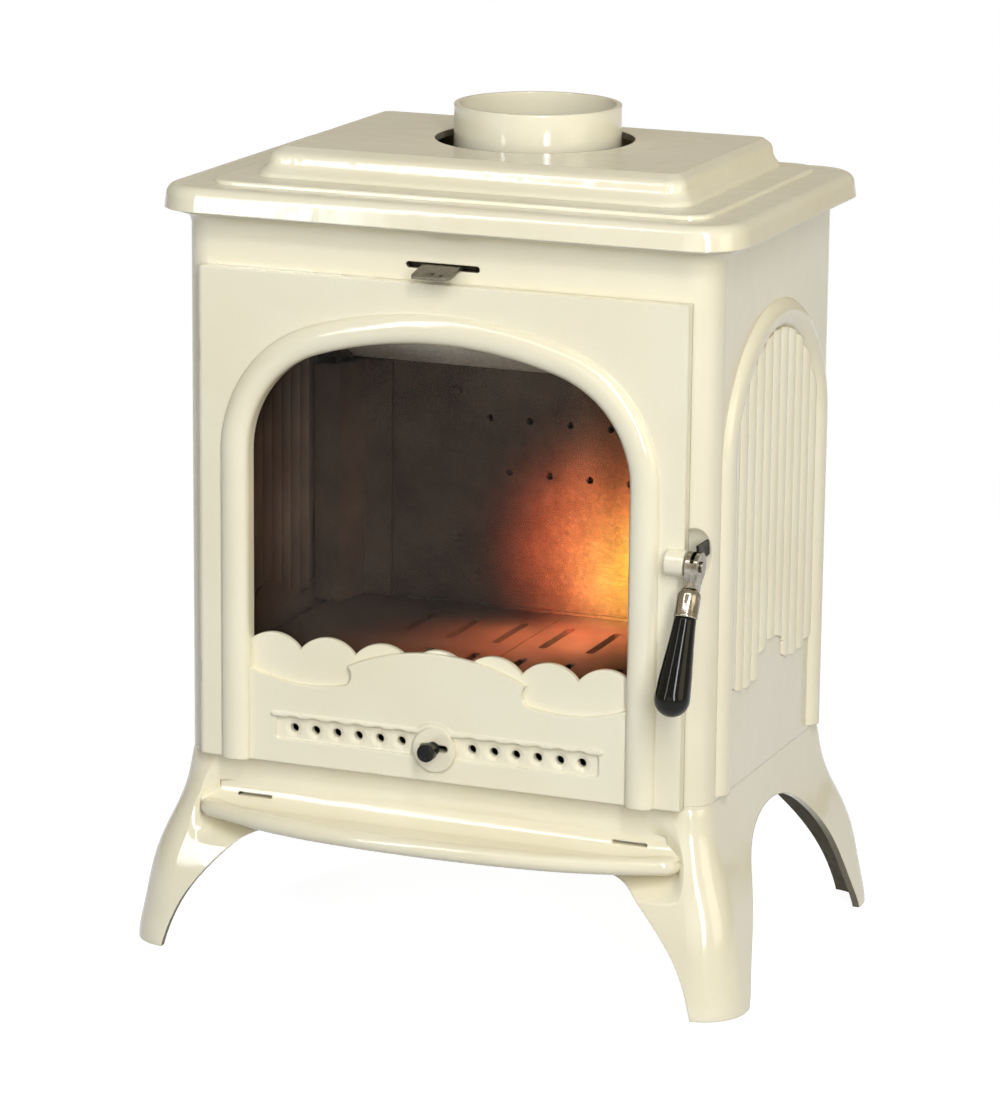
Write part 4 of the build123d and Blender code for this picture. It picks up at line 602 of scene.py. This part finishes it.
# Castings that are enamelled outside and bare inside: where they are bare, its finish, the edges' rounding
castings = {
    "leg_base": (bareInBase, sprayed, enamel["edgeRadius"]),
    "side_panel_right": (bareInBox, iron, enamel["edgeRadius"]),
    "side_panel_left": (bareInBox, iron, enamel["edgeRadius"]),
    "back_panel": (bareInBox, iron, enamel["edgeRadius"]),
    "front_frame": (bareInFrame, iron, enamel["edgeRadius"]),
    "door": (bareInDoor, iron, enamel["doorEdgeRadius"]),
    "top_plate": (bareInTop, sprayed, enamel["edgeRadius"]),
    "flue_collar": (bareInCollar, sprayed, enamel["edgeRadius"]),
}
slotOf = {part["node"]: part["material_slot"] for part in frame["record"]["subparts"]}
for name, piece in cad.items():
    paint = newEnamel(name + "Enamel", *castings[name]) if name in castings else paints[slotOf[name]]
    if not piece.material_slots:
        piece.data.materials.append(None)
    for holder in piece.material_slots:
        holder.material = paint
print("finishes on")


# Making pieces
def newPiece(name, mesh, slot, body):
    piece = newObject(name, mesh)
    mesh.materials.clear()
    mesh.materials.append(paints[slot])
    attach(piece, body)
    return piece


def meshOf(shape, name, smooth=False):
    bmesh.ops.recalc_face_normals(shape, faces=shape.faces)
    mesh = bpy.data.meshes.new(name)
    shape.to_mesh(mesh)
    shape.free()
    if smooth:
        mesh.shade_smooth()
    return mesh


def joinRings(shape, low, high):
    count = max(len(low), len(high))
    for step in range(count):
        after = (step + 1) % count
        corners = [low[step % len(low)], low[after % len(low)]]
        corners += [high[after % len(high)], high[step % len(high)]]
        shape.faces.new(list(dict.fromkeys(corners)))


def turnMesh(name, profile, start, direction, segments=64):
    along = Vector(direction).normalized()
    across = along.cross(Vector((1, 0, 0)) if abs(along.x) < 0.9 else Vector((0, 1, 0))).normalized()
    other = along.cross(across)
    shape = bmesh.new()
    rings = []
    for radius, distance in profile:
        centre = Vector(start) + along * distance
        if radius == 0:
            rings.append([shape.verts.new(centre)])
            continue
        ring = []
        for step in range(segments):
            angle = 2 * math.pi * step / segments
            outward = math.cos(angle) * across + math.sin(angle) * other
            ring.append(shape.verts.new(centre + radius * outward))
        rings.append(ring)
    for low, high in zip(rings, rings[1:]):
        joinRings(shape, low, high)
    return meshOf(shape, name, smooth=True)


def prismMesh(name, ends):
    shape = bmesh.new()
    rings = [[shape.verts.new(spot) for spot in end] for end in ends]
    for ring in rings:
        shape.faces.new(ring)
    joinRings(shape, *rings)
    return meshOf(shape, name)


def arc(centre, radius, start, end, steps):
    points = []
    for step in range(steps + 1):
        angle = math.radians(start + (end - start) * step / steps)
        points.append((centre[0] + radius * math.cos(angle), centre[1] + radius * math.sin(angle)))
    return points


# Handle: ferrule and grip turned on the line that hangs from the fork's pivot
handle = {
    "pivot": (0.2390, -0.160855, 0.3958),
    "lean": 25.0,
    "ferruleStart": 0.0200,
    "ferruleTop": 0.0055,
    "ferruleRadius": 0.0103,
    "shoulder": 0.0070,
    "bead": (0.0016, 0.0010, 0.0003),  # where it begins, is highest and ends, back from the joint
    "beadHeight": 0.0003,
    "ferruleEdge": 0.0004,
    "gripStart": 0.0450,
    "gripTop": 0.0095,
    "gripEdge": 0.0006,
    "gripSwell": (0.55, 0.45),  # shares of a straight taper and of a wave
    "gripEnd": 0.0153,
    "length": 0.1300,
    "steps": (8, 24, 16),  # along the shoulder, the grip's side and its round end
}


def makeHandle(values):
    lean = math.radians(values["lean"])
    hang = (0, -math.sin(lean), -math.cos(lean))
    shoulderSteps, sideSteps, endSteps = values["steps"]
    start, joint = values["ferruleStart"], values["gripStart"]
    neck, rim = values["ferruleTop"], values["ferruleRadius"]
    profile = [(0, start), (neck, start)]
    for step in range(1, shoulderSteps + 1):
        angle = math.radians(90 * step / shoulderSteps)
        radius = neck + (rim - neck) * math.sin(angle)
        profile.append((radius, start + values["shoulder"] * (1 - math.cos(angle))))
    rise, crest, fall = (joint - back for back in values["bead"])
    profile += [(rim, rise), (rim + values["beadHeight"], crest), (rim, fall)]
    profile += [(rim - values["ferruleEdge"], joint), (0, joint)]
    mesh = turnMesh("turnedFerrule", profile, values["pivot"], hang)
    ferrule = newPiece("turnedFerrule", mesh, "bright_steel", "handle")
    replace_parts(ferrule, "handle_ferrule")
    ball = values["length"] - values["gripEnd"]
    top, end, edge = values["gripTop"], values["gripEnd"], values["gripEdge"]
    taper, wave = values["gripSwell"]
    profile = [(0, joint), (top - edge, joint), (top, joint + edge)]
    for step in range(1, sideSteps + 1):
        share = step / sideSteps
        belly = (1 - math.cos(math.pi * share)) / 2
        radius = top + (end - top) * (taper * share + wave * belly)
        profile.append((radius, joint + (ball - joint) * share))
    for step in range(1, endSteps + 1):
        angle = math.radians(90 * step / endSteps)
        profile.append((end * math.cos(angle) if step < endSteps else 0, ball + end * math.sin(angle)))
    mesh = turnMesh("turnedGrip", profile, values["pivot"], hang)
    grip = newPiece("turnedGrip", mesh, "grip", "handle")
    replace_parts(grip, "handle_grip")


makeHandle(handle)
print("handle turned")

# Air knob: cap, ribbed neck and stem on one spindle
knob = {
    "middle": (0.0, -0.154355, 0.2070),
    "cap": (0.0080, 0.0130, 0.0230, 0.0022),  # radius, near end, far end, rounding
    "capEdge": 0.0008,
    "capHollow": (0.0050, 0.0046, 0.0003),  # in the cap's face: radius, radius of its bottom, depth
    "neck": (0.0062, 0.0033),  # radius, near end
    "ribs": 5,
    "ribDepth": 0.0006,
    # shares of the distance between ribs and of their depth
    "ribOutline": ((0.1, 0.3), (0.25, 0.0), (0.7, 0.0), (0.85, 0.3), (1.0, 1.0)),
    "stem": 0.0030,
    "stemBack": 0.0107,
    "tail": (0.0020, 0.0127, 0.0034, 0.0139),  # rivet: shank radius, its end, head radius, its end
    "sides": 48,
}


def makeKnob(values):
    radius, near, far, rounding = values["cap"]
    mouth, bottom, sunk = values["capHollow"]
    neck, neckBack = values["neck"]
    stem, stemBack = values["stem"], values["stemBack"]
    shank, shankEnd, head, headEnd = values["tail"]
    profile = [(0, -headEnd), (head, -headEnd), (head, -shankEnd), (shank, -shankEnd), (shank, -stemBack)]
    profile += [(stem, -stemBack), (stem, neckBack), (neck - values["ribDepth"], neckBack)]
    pitch = (near - neckBack) / values["ribs"]
    for rib in range(values["ribs"]):
        foot = neckBack + pitch * rib
        for share, depth in values["ribOutline"]:
            profile.append((neck - values["ribDepth"] * depth, foot + pitch * share))
    profile += [(radius - values["capEdge"], near), (radius, near + values["capEdge"])]
    profile += arc((radius - rounding, far - rounding), rounding, 0, 90, 6)
    profile += [(mouth, far), (bottom, far - sunk), (0, far - sunk)]
    mesh = turnMesh("ribbedKnob", profile, values["middle"], (0, -1, 0), values["sides"])
    piece = newPiece("ribbedKnob", mesh, "knob", "primary_air")
    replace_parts(piece, "air_knob")


makeKnob(knob)
print("air knob turned")


# A band that follows a rounded rectangle in the door's plane
def frameRoute(halfWidth, foot, head, radius, step):
    route = []
    corners = [
        ((halfWidth - radius, head - radius), 0, 90),
        ((-halfWidth + radius, head - radius), 90, 180),
        ((-halfWidth + radius, foot + radius), 180, 270),
        ((halfWidth - radius, foot + radius), 270, 360),
    ]
    turns = []
    for centre, start, end in corners:
        turns.append(arc(centre, radius, start, end, max(3, round(radius * math.pi / 2 / step))))
    for index, turn in enumerate(turns):
        route += turn
        last, first = Vector(turn[-1]), Vector(turns[(index + 1) % 4][0])
        count = max(2, round((first - last).length / step))
        route += [tuple(last.lerp(first, part / count)) for part in range(1, count)]
    return route


def bandMesh(name, route, depth, sections):
    shape = bmesh.new()
    count = len(route)
    for section in sections:
        rings = []
        for index, spot in enumerate(route):
            before, after = Vector(route[index - 1]), Vector(route[(index + 1) % count])
            direction = (after - before).normalized()
            outward = Vector((direction.y, -direction.x))
            ring = []
            for out, back in section(index / count):
                place = Vector(spot) + outward * out
                ring.append(shape.verts.new((place.x, depth + back, place.y)))
            rings.append(ring)
        for index in range(count):
            joinRings(shape, rings[index], rings[(index + 1) % count])
    return meshOf(shape, name, smooth=True)


# Rope seal: three strands twisted round one another, pressed into the door's groove
rope = {
    "strands": 3,
    "twists": 138,
    "step": 0.0016,
    "corner": 0.008,
    "spread": (0.0021, 0.0010),
    "strand": (0.0018, 0.00095),
}


def makeRope(values):
    low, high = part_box("door_seal")
    half = high[1] - low[1]  # the groove is twice as wide as it is deep
    route = frameRoute(high[0] - half, low[2] + half, high[2] - half, values["corner"], values["step"])
    hexagon = arc((0, 0), 1.0, 0, 300, 5)
    wide, deep = values["strand"]

    def strandSection(number):
        def section(share):
            turn = 2 * math.pi * (values["twists"] * share + number / values["strands"])
            out, back = values["spread"][0] * math.cos(turn), values["spread"][1] * math.sin(turn)
            return [(out + wide * x, back + deep * y) for x, y in hexagon]
        return section

    sections = [strandSection(number) for number in range(values["strands"])]
    mesh = bandMesh("doorRope", route, (low[1] + high[1]) / 2, sections)
    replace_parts(newPiece("doorRope", mesh, "rope", "door"), "door_seal")


# Tape under the glass: a flat woven band with soft edges
tape = {"step": 0.004, "corner": 0.003, "edge": 0.0008, "width": 0.006}


def makeTape(values):
    low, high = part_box("glass_seal")
    half, deep = values["width"] / 2, (high[1] - low[1]) / 2
    route = frameRoute(high[0] - half, low[2] + half, high[2] - half, values["corner"], values["step"])
    soft = values["edge"]
    outline = [(half, -deep + soft), (half, deep - soft), (half - soft, deep), (soft - half, deep)]
    outline += [(-x, -y) for x, y in outline]
    mesh = bandMesh("glassTape", route, (low[1] + high[1]) / 2, [lambda share: outline])
    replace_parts(newPiece("glassTape", mesh, "gasket", "door"), "glass_seal")


makeRope(rope)
makeTape(tape)
print("rope and tape laid")

# Lip along the foot of the back plate, where it stands on the grate
lip = {
    "halfWidth": 0.1770,
    "front": 0.1603,
    "back": 0.1640,
    "foot": 0.2520,
    "height": 0.0026,
    "round": 0.0009,
}


def makeLip(values):
    soft, top = values["round"], values["foot"] + values["height"]
    outline = [(values["back"], values["foot"]), (values["front"], values["foot"])]
    outline += arc((values["front"] + soft, top - soft), soft, 180, 90, 4) + [(values["back"], top)]
    ends = [[(x, y, z) for y, z in outline] for x in (-values["halfWidth"], values["halfWidth"])]
    newPiece("firebackLip", prismMesh("firebackLip", ends), "bare_iron", "stove")


makeLip(lip)
print("lip laid")

# Slotted screws: one node tree, given the sizes of each set in this order
screw = {
    "sizes": ("Head Radius", "Head Height", "Shank Radius", "Shank Length", "Slot Width"),
    "headSides": 32,
    "shankSides": 20,
    "crownShare": 0.72,
    "slotReach": 3.0,
}
screwSets = {
    "firebackScrews": {
        "node": "fireback_screws",
        "slot": "bare_iron",
        "body": "stove",
        "face": 0.164645,
        "towards": -1,
        "places": [(x, z) for x in (-0.113, 0.113) for z in (0.316, 0.455)],
        "sizes": (0.0050, 0.0035, 0.0025, 0.0147, 0.0016),
    },
    "clipScrews": {
        "node": "clip_screws",
        "slot": "fixing_steel",
        "body": "door",
        "face": -0.136255,
        "towards": 1,
        "places": [(x, z) for x in (-0.100, 0.100) for z in (0.245, 0.585)],
        "sizes": (0.0030, 0.0020, 0.0015, 0.0097, 0.0008),
    },
    "slideScrews": {
        "node": "slide_screws",
        "slot": "fixing_steel",
        "body": "door",
        "face": -0.140355,
        "towards": 1,
        "places": [(x, 0.208) for x in (-0.157, 0.157)],
        "sizes": (0.0035, 0.0020, 0.0020, 0.0076, 0.0009),
    },
}


def raised(tree, part, height):
    place = addNode(tree, "ShaderNodeCombineXYZ", links={"Z": height}).outputs[0]
    links = {"Geometry": part.outputs["Mesh"], "Translation": place}
    return addNode(tree, "GeometryNodeTransform", links=links).outputs[0]


def screwTree(values):
    tree = bpy.data.node_groups.new("slottedScrews", "GeometryNodeTree")
    face = tree.interface
    face.new_socket("Geometry", in_out="INPUT", socket_type="NodeSocketGeometry")
    for name in values["sizes"]:
        face.new_socket(name, in_out="INPUT", socket_type="NodeSocketFloat")
    face.new_socket("Turn", in_out="INPUT", socket_type="NodeSocketVector")
    face.new_socket("Finish", in_out="INPUT", socket_type="NodeSocketMaterial")
    face.new_socket("Geometry", in_out="OUTPUT", socket_type="NodeSocketGeometry")
    given = tree.nodes.new("NodeGroupInput").outputs
    head = given["Head Radius"]
    half = calc(tree, "MULTIPLY", given["Head Height"], 0.5)
    sides = {"Vertices": values["headSides"]}
    straight = addNode(tree, "GeometryNodeMeshCylinder", None, sides, {"Radius": head, "Depth": half})
    straight = raised(tree, straight, calc(tree, "MULTIPLY", half, 0.5))
    crown = calc(tree, "MULTIPLY", head, values["crownShare"])
    links = {"Radius Top": crown, "Radius Bottom": head, "Depth": half}
    cap = raised(tree, addNode(tree, "GeometryNodeMeshCone", None, sides, links), half)
    wide = calc(tree, "MULTIPLY", head, values["slotReach"])
    links = {"X": wide, "Y": given["Slot Width"], "Z": half}
    size = addNode(tree, "ShaderNodeCombineXYZ", links=links).outputs[0]
    slot = addNode(tree, "GeometryNodeMeshCube", links={"Size": size})
    links = {"Mesh 1": cap, "Mesh 2": raised(tree, slot, given["Head Height"])}
    cut = addNode(tree, "GeometryNodeMeshBoolean", {"operation": "DIFFERENCE"}, links=links).outputs[0]
    links = {"Radius": given["Shank Radius"], "Depth": given["Shank Length"]}
    shank = addNode(tree, "GeometryNodeMeshCylinder", None, {"Vertices": values["shankSides"]}, links)
    shank = raised(tree, shank, calc(tree, "MULTIPLY", given["Shank Length"], -0.5))
    joined = addNode(tree, "GeometryNodeJoinGeometry")
    for part in (straight, cut, shank):
        tree.links.new(part, joined.inputs[0])
    links = {"Geometry": joined.outputs[0], "Rotation": given["Turn"]}
    turned = addNode(tree, "GeometryNodeTransform", links=links)
    links = {"Points": given["Geometry"], "Instance": turned.outputs[0]}
    points = addNode(tree, "GeometryNodeInstanceOnPoints", links=links)
    solid = addNode(tree, "GeometryNodeRealizeInstances", links={0: points.outputs[0]})
    links = {"Geometry": solid.outputs[0], "Material": given["Finish"]}
    painted = addNode(tree, "GeometryNodeSetMaterial", links=links)
    addNode(tree, "NodeGroupOutput", links={0: painted.outputs[0]})
    return tree


def bakeTree(name, mesh, tree, inputs):
    holder = newObject(name + "Points", mesh)
    modifier = holder.modifiers.new("nodes", "NODES")
    modifier.node_group = tree
    sockets = {item.name: item.identifier for item in tree.interface.items_tree if item.in_out == "INPUT"}
    for key, value in inputs.items():
        modifier[sockets[key]] = value
    bpy.context.view_layer.update()
    baked = bpy.data.meshes.new_from_object(holder.evaluated_get(bpy.context.evaluated_depsgraph_get()))
    holder.modifiers.remove(modifier)
    bpy.data.objects.remove(holder)
    baked.name = name
    return baked


def makeScrews(sets):
    tree = screwTree(screw)
    for name, values in sets.items():
        points = bpy.data.meshes.new(name + "Points")
        points.from_pydata([(x, values["face"], z) for x, z in values["places"]], [], [])
        inputs = dict(zip(screw["sizes"], values["sizes"]))
        inputs["Turn"] = (math.radians(-90 * values["towards"]), 0.0, 0.0)
        inputs["Finish"] = paints[values["slot"]]
        piece = newPiece(name, bakeTree(name, points, tree, inputs), values["slot"], values["body"])
        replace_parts(piece, values["node"])


makeScrews(screwSets)
print("screws set")

# Lever of the air wash: the plate with rounded corners, a little more droop and three small holes, with
# dark plugs sunk in them as painted shade
lever = {
    "holes": [(-0.0048, -0.1660, 0.0014), (-0.0012, -0.1636, 0.0021), (0.0076, -0.1660, 0.0021)],
    "bend": -0.1447,
    "tip": -0.1704,
    "droop": 0.0018,
    "longer": 0.0010,
    "corners": (0.0090, 0.0030),  # rounding at the right and at the left
    "merge": 0.00001,
    "aside": 0.01,  # how far the cutter stands out sideways, and above and below
    "above": 0.02,
    "drillLength": 0.03,
    "sides": 20,
    "shadeSink": 0.00015,
    "shadeFit": 0.0001,
    "plug": 0.0016,
}


def cutMesh(piece, toolMesh, operation):
    tool = newObject("tool", toolMesh)
    cut = piece.modifiers.new("cut", "BOOLEAN")
    cut.operation, cut.object, cut.solver = operation, tool, "EXACT"
    bpy.context.view_layer.update()
    result = bpy.data.meshes.new_from_object(piece.evaluated_get(bpy.context.evaluated_depsgraph_get()))
    piece.modifiers.remove(cut)
    bpy.data.objects.remove(tool)
    piece.data = result


def makeLever(values):
    low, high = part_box("air_wash_lever")
    plate = cad["air_wash_lever"].data.copy()
    shape = bmesh.new()
    shape.from_mesh(plate)
    bmesh.ops.remove_doubles(shape, verts=shape.verts, dist=values["merge"])
    for spot in shape.verts:
        share = max(0.0, (values["bend"] - spot.co.y) / (values["bend"] - values["tip"]))
        spot.co.z -= values["droop"] * share
        spot.co.y -= values["longer"] * share
    shape.to_mesh(plate)
    shape.free()
    piece = newObject("drilledLever", plate)
    front = values["tip"] - values["longer"]
    right, left = values["corners"]
    aside, above = values["aside"], values["above"]
    outline = [(high[0] + aside, 0.0), (low[0] - aside, 0.0)]
    outline += [(low[0] - aside, front + left), (low[0], front + left)]
    outline += arc((low[0] + left, front + left), left, 180, 270, 6)[1:]
    outline += arc((high[0] - right, front + right), right, 270, 360, 10)
    outline += [(high[0] + aside, front + right)]
    ends = [[(x, y, z) for x, y in outline] for z in (low[2] - above, high[2] + above)]
    cutMesh(piece, prismMesh("tool", ends), "INTERSECT")
    bpy.context.view_layer.update()
    tops = [piece.ray_cast((x, y, high[2] + above), (0, 0, -1))[1:3] for x, y, radius in values["holes"]]
    drills = bmesh.new()
    for x, y, radius in values["holes"]:
        sizes = {"radius1": radius, "radius2": radius, "depth": values["drillLength"]}
        spot = Matrix.Translation((x, y, low[2]))
        bmesh.ops.create_cone(drills, cap_ends=True, segments=values["sides"], matrix=spot, **sizes)
    cutMesh(piece, meshOf(drills, "tool"), "DIFFERENCE")
    mesh = piece.data
    bpy.data.objects.remove(piece)
    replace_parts(newPiece("roundedLever", mesh, "lever_steel", "air_wash"), "air_wash_lever")
    # painted shade: a dark steel plug sits just under the top of each hole
    for number, ((x, y, radius), (top, up)) in enumerate(zip(values["holes"], tops)):
        wide = radius + values["shadeFit"]
        profile = [(0, 0), (wide, 0), (wide, values["plug"]), (0, values["plug"])]
        holeShade = turnMesh("leverHoleShade", profile, top - up * values["shadeSink"], -up, values["sides"])
        newPiece("leverHoleShade" + str(number), holeShade, "dark_steel", "air_wash")


makeLever(lever)
print("lever drilled")

# Firelight: the fire itself is out of sight, so soft spots light the plates and the grate round it
fire = {
    # name: place, aimed at, cone, watts, colour, size
    "heart": ((0.085, 0.110, 0.300), (0.085, 0.1646, 0.300), 130, 3.6, (0.60, 1.00, 0.04), 0.010),
    "flame": ((0.075, 0.075, 0.305), (0.075, 0.1646, 0.305), 120, 3.2, (0.86, 1.00, 0.48), 0.012),
    "lick": ((0.100, 0.090, 0.330), (0.080, 0.1646, 0.320), 110, 1.8, (1.00, 0.10, 0.03), 0.015),
    "upperGlow": ((0.130, 0.060, 0.360), (0.100, 0.1646, 0.380), 90, 2.6, (1.00, 0.58, 0.35), 0.020),
    "wideGlow": ((0.052, 0.030, 0.310), (0.050, 0.1646, 0.308), 92, 11.6, (1.00, 0.14, 0.05), 0.020),
    "coals": ((0.080, 0.100, 0.330), (0.075, 0.100, 0.252), 120, 2.9, (1.00, 0.38, 0.22), 0.015),
    "grateGlow": ((0.010, 0.085, 0.365), (0.000, 0.030, 0.252), 110, 3.4, (1.00, 0.26, 0.10), 0.020),
    "baffleGlow": ((-0.110, -0.060, 0.430), (-0.080, 0.050, 0.570), 100, 1.5, (0.88, 1.00, 0.98), 0.040),
    "wallGlow": ((0.020, 0.010, 0.350), (-0.180, 0.050, 0.350), 66, 1.1, (1.00, 0.80, 0.66), 0.020),
}


def makeFire(values):
    for name, (place, aim, cone, watts, colour, size) in values.items():
        data = bpy.data.lights.new(name, "SPOT")
        data.energy = watts
        data.color = colour
        data.shadow_soft_size = size
        data.spot_size = math.radians(cone)
        data.spot_blend = 1.0
        lamp = aimLamp(name, data, place, aim)
        lamp.visible_glossy = lamp.visible_transmission = False


makeFire(fire)
print("fire lit")
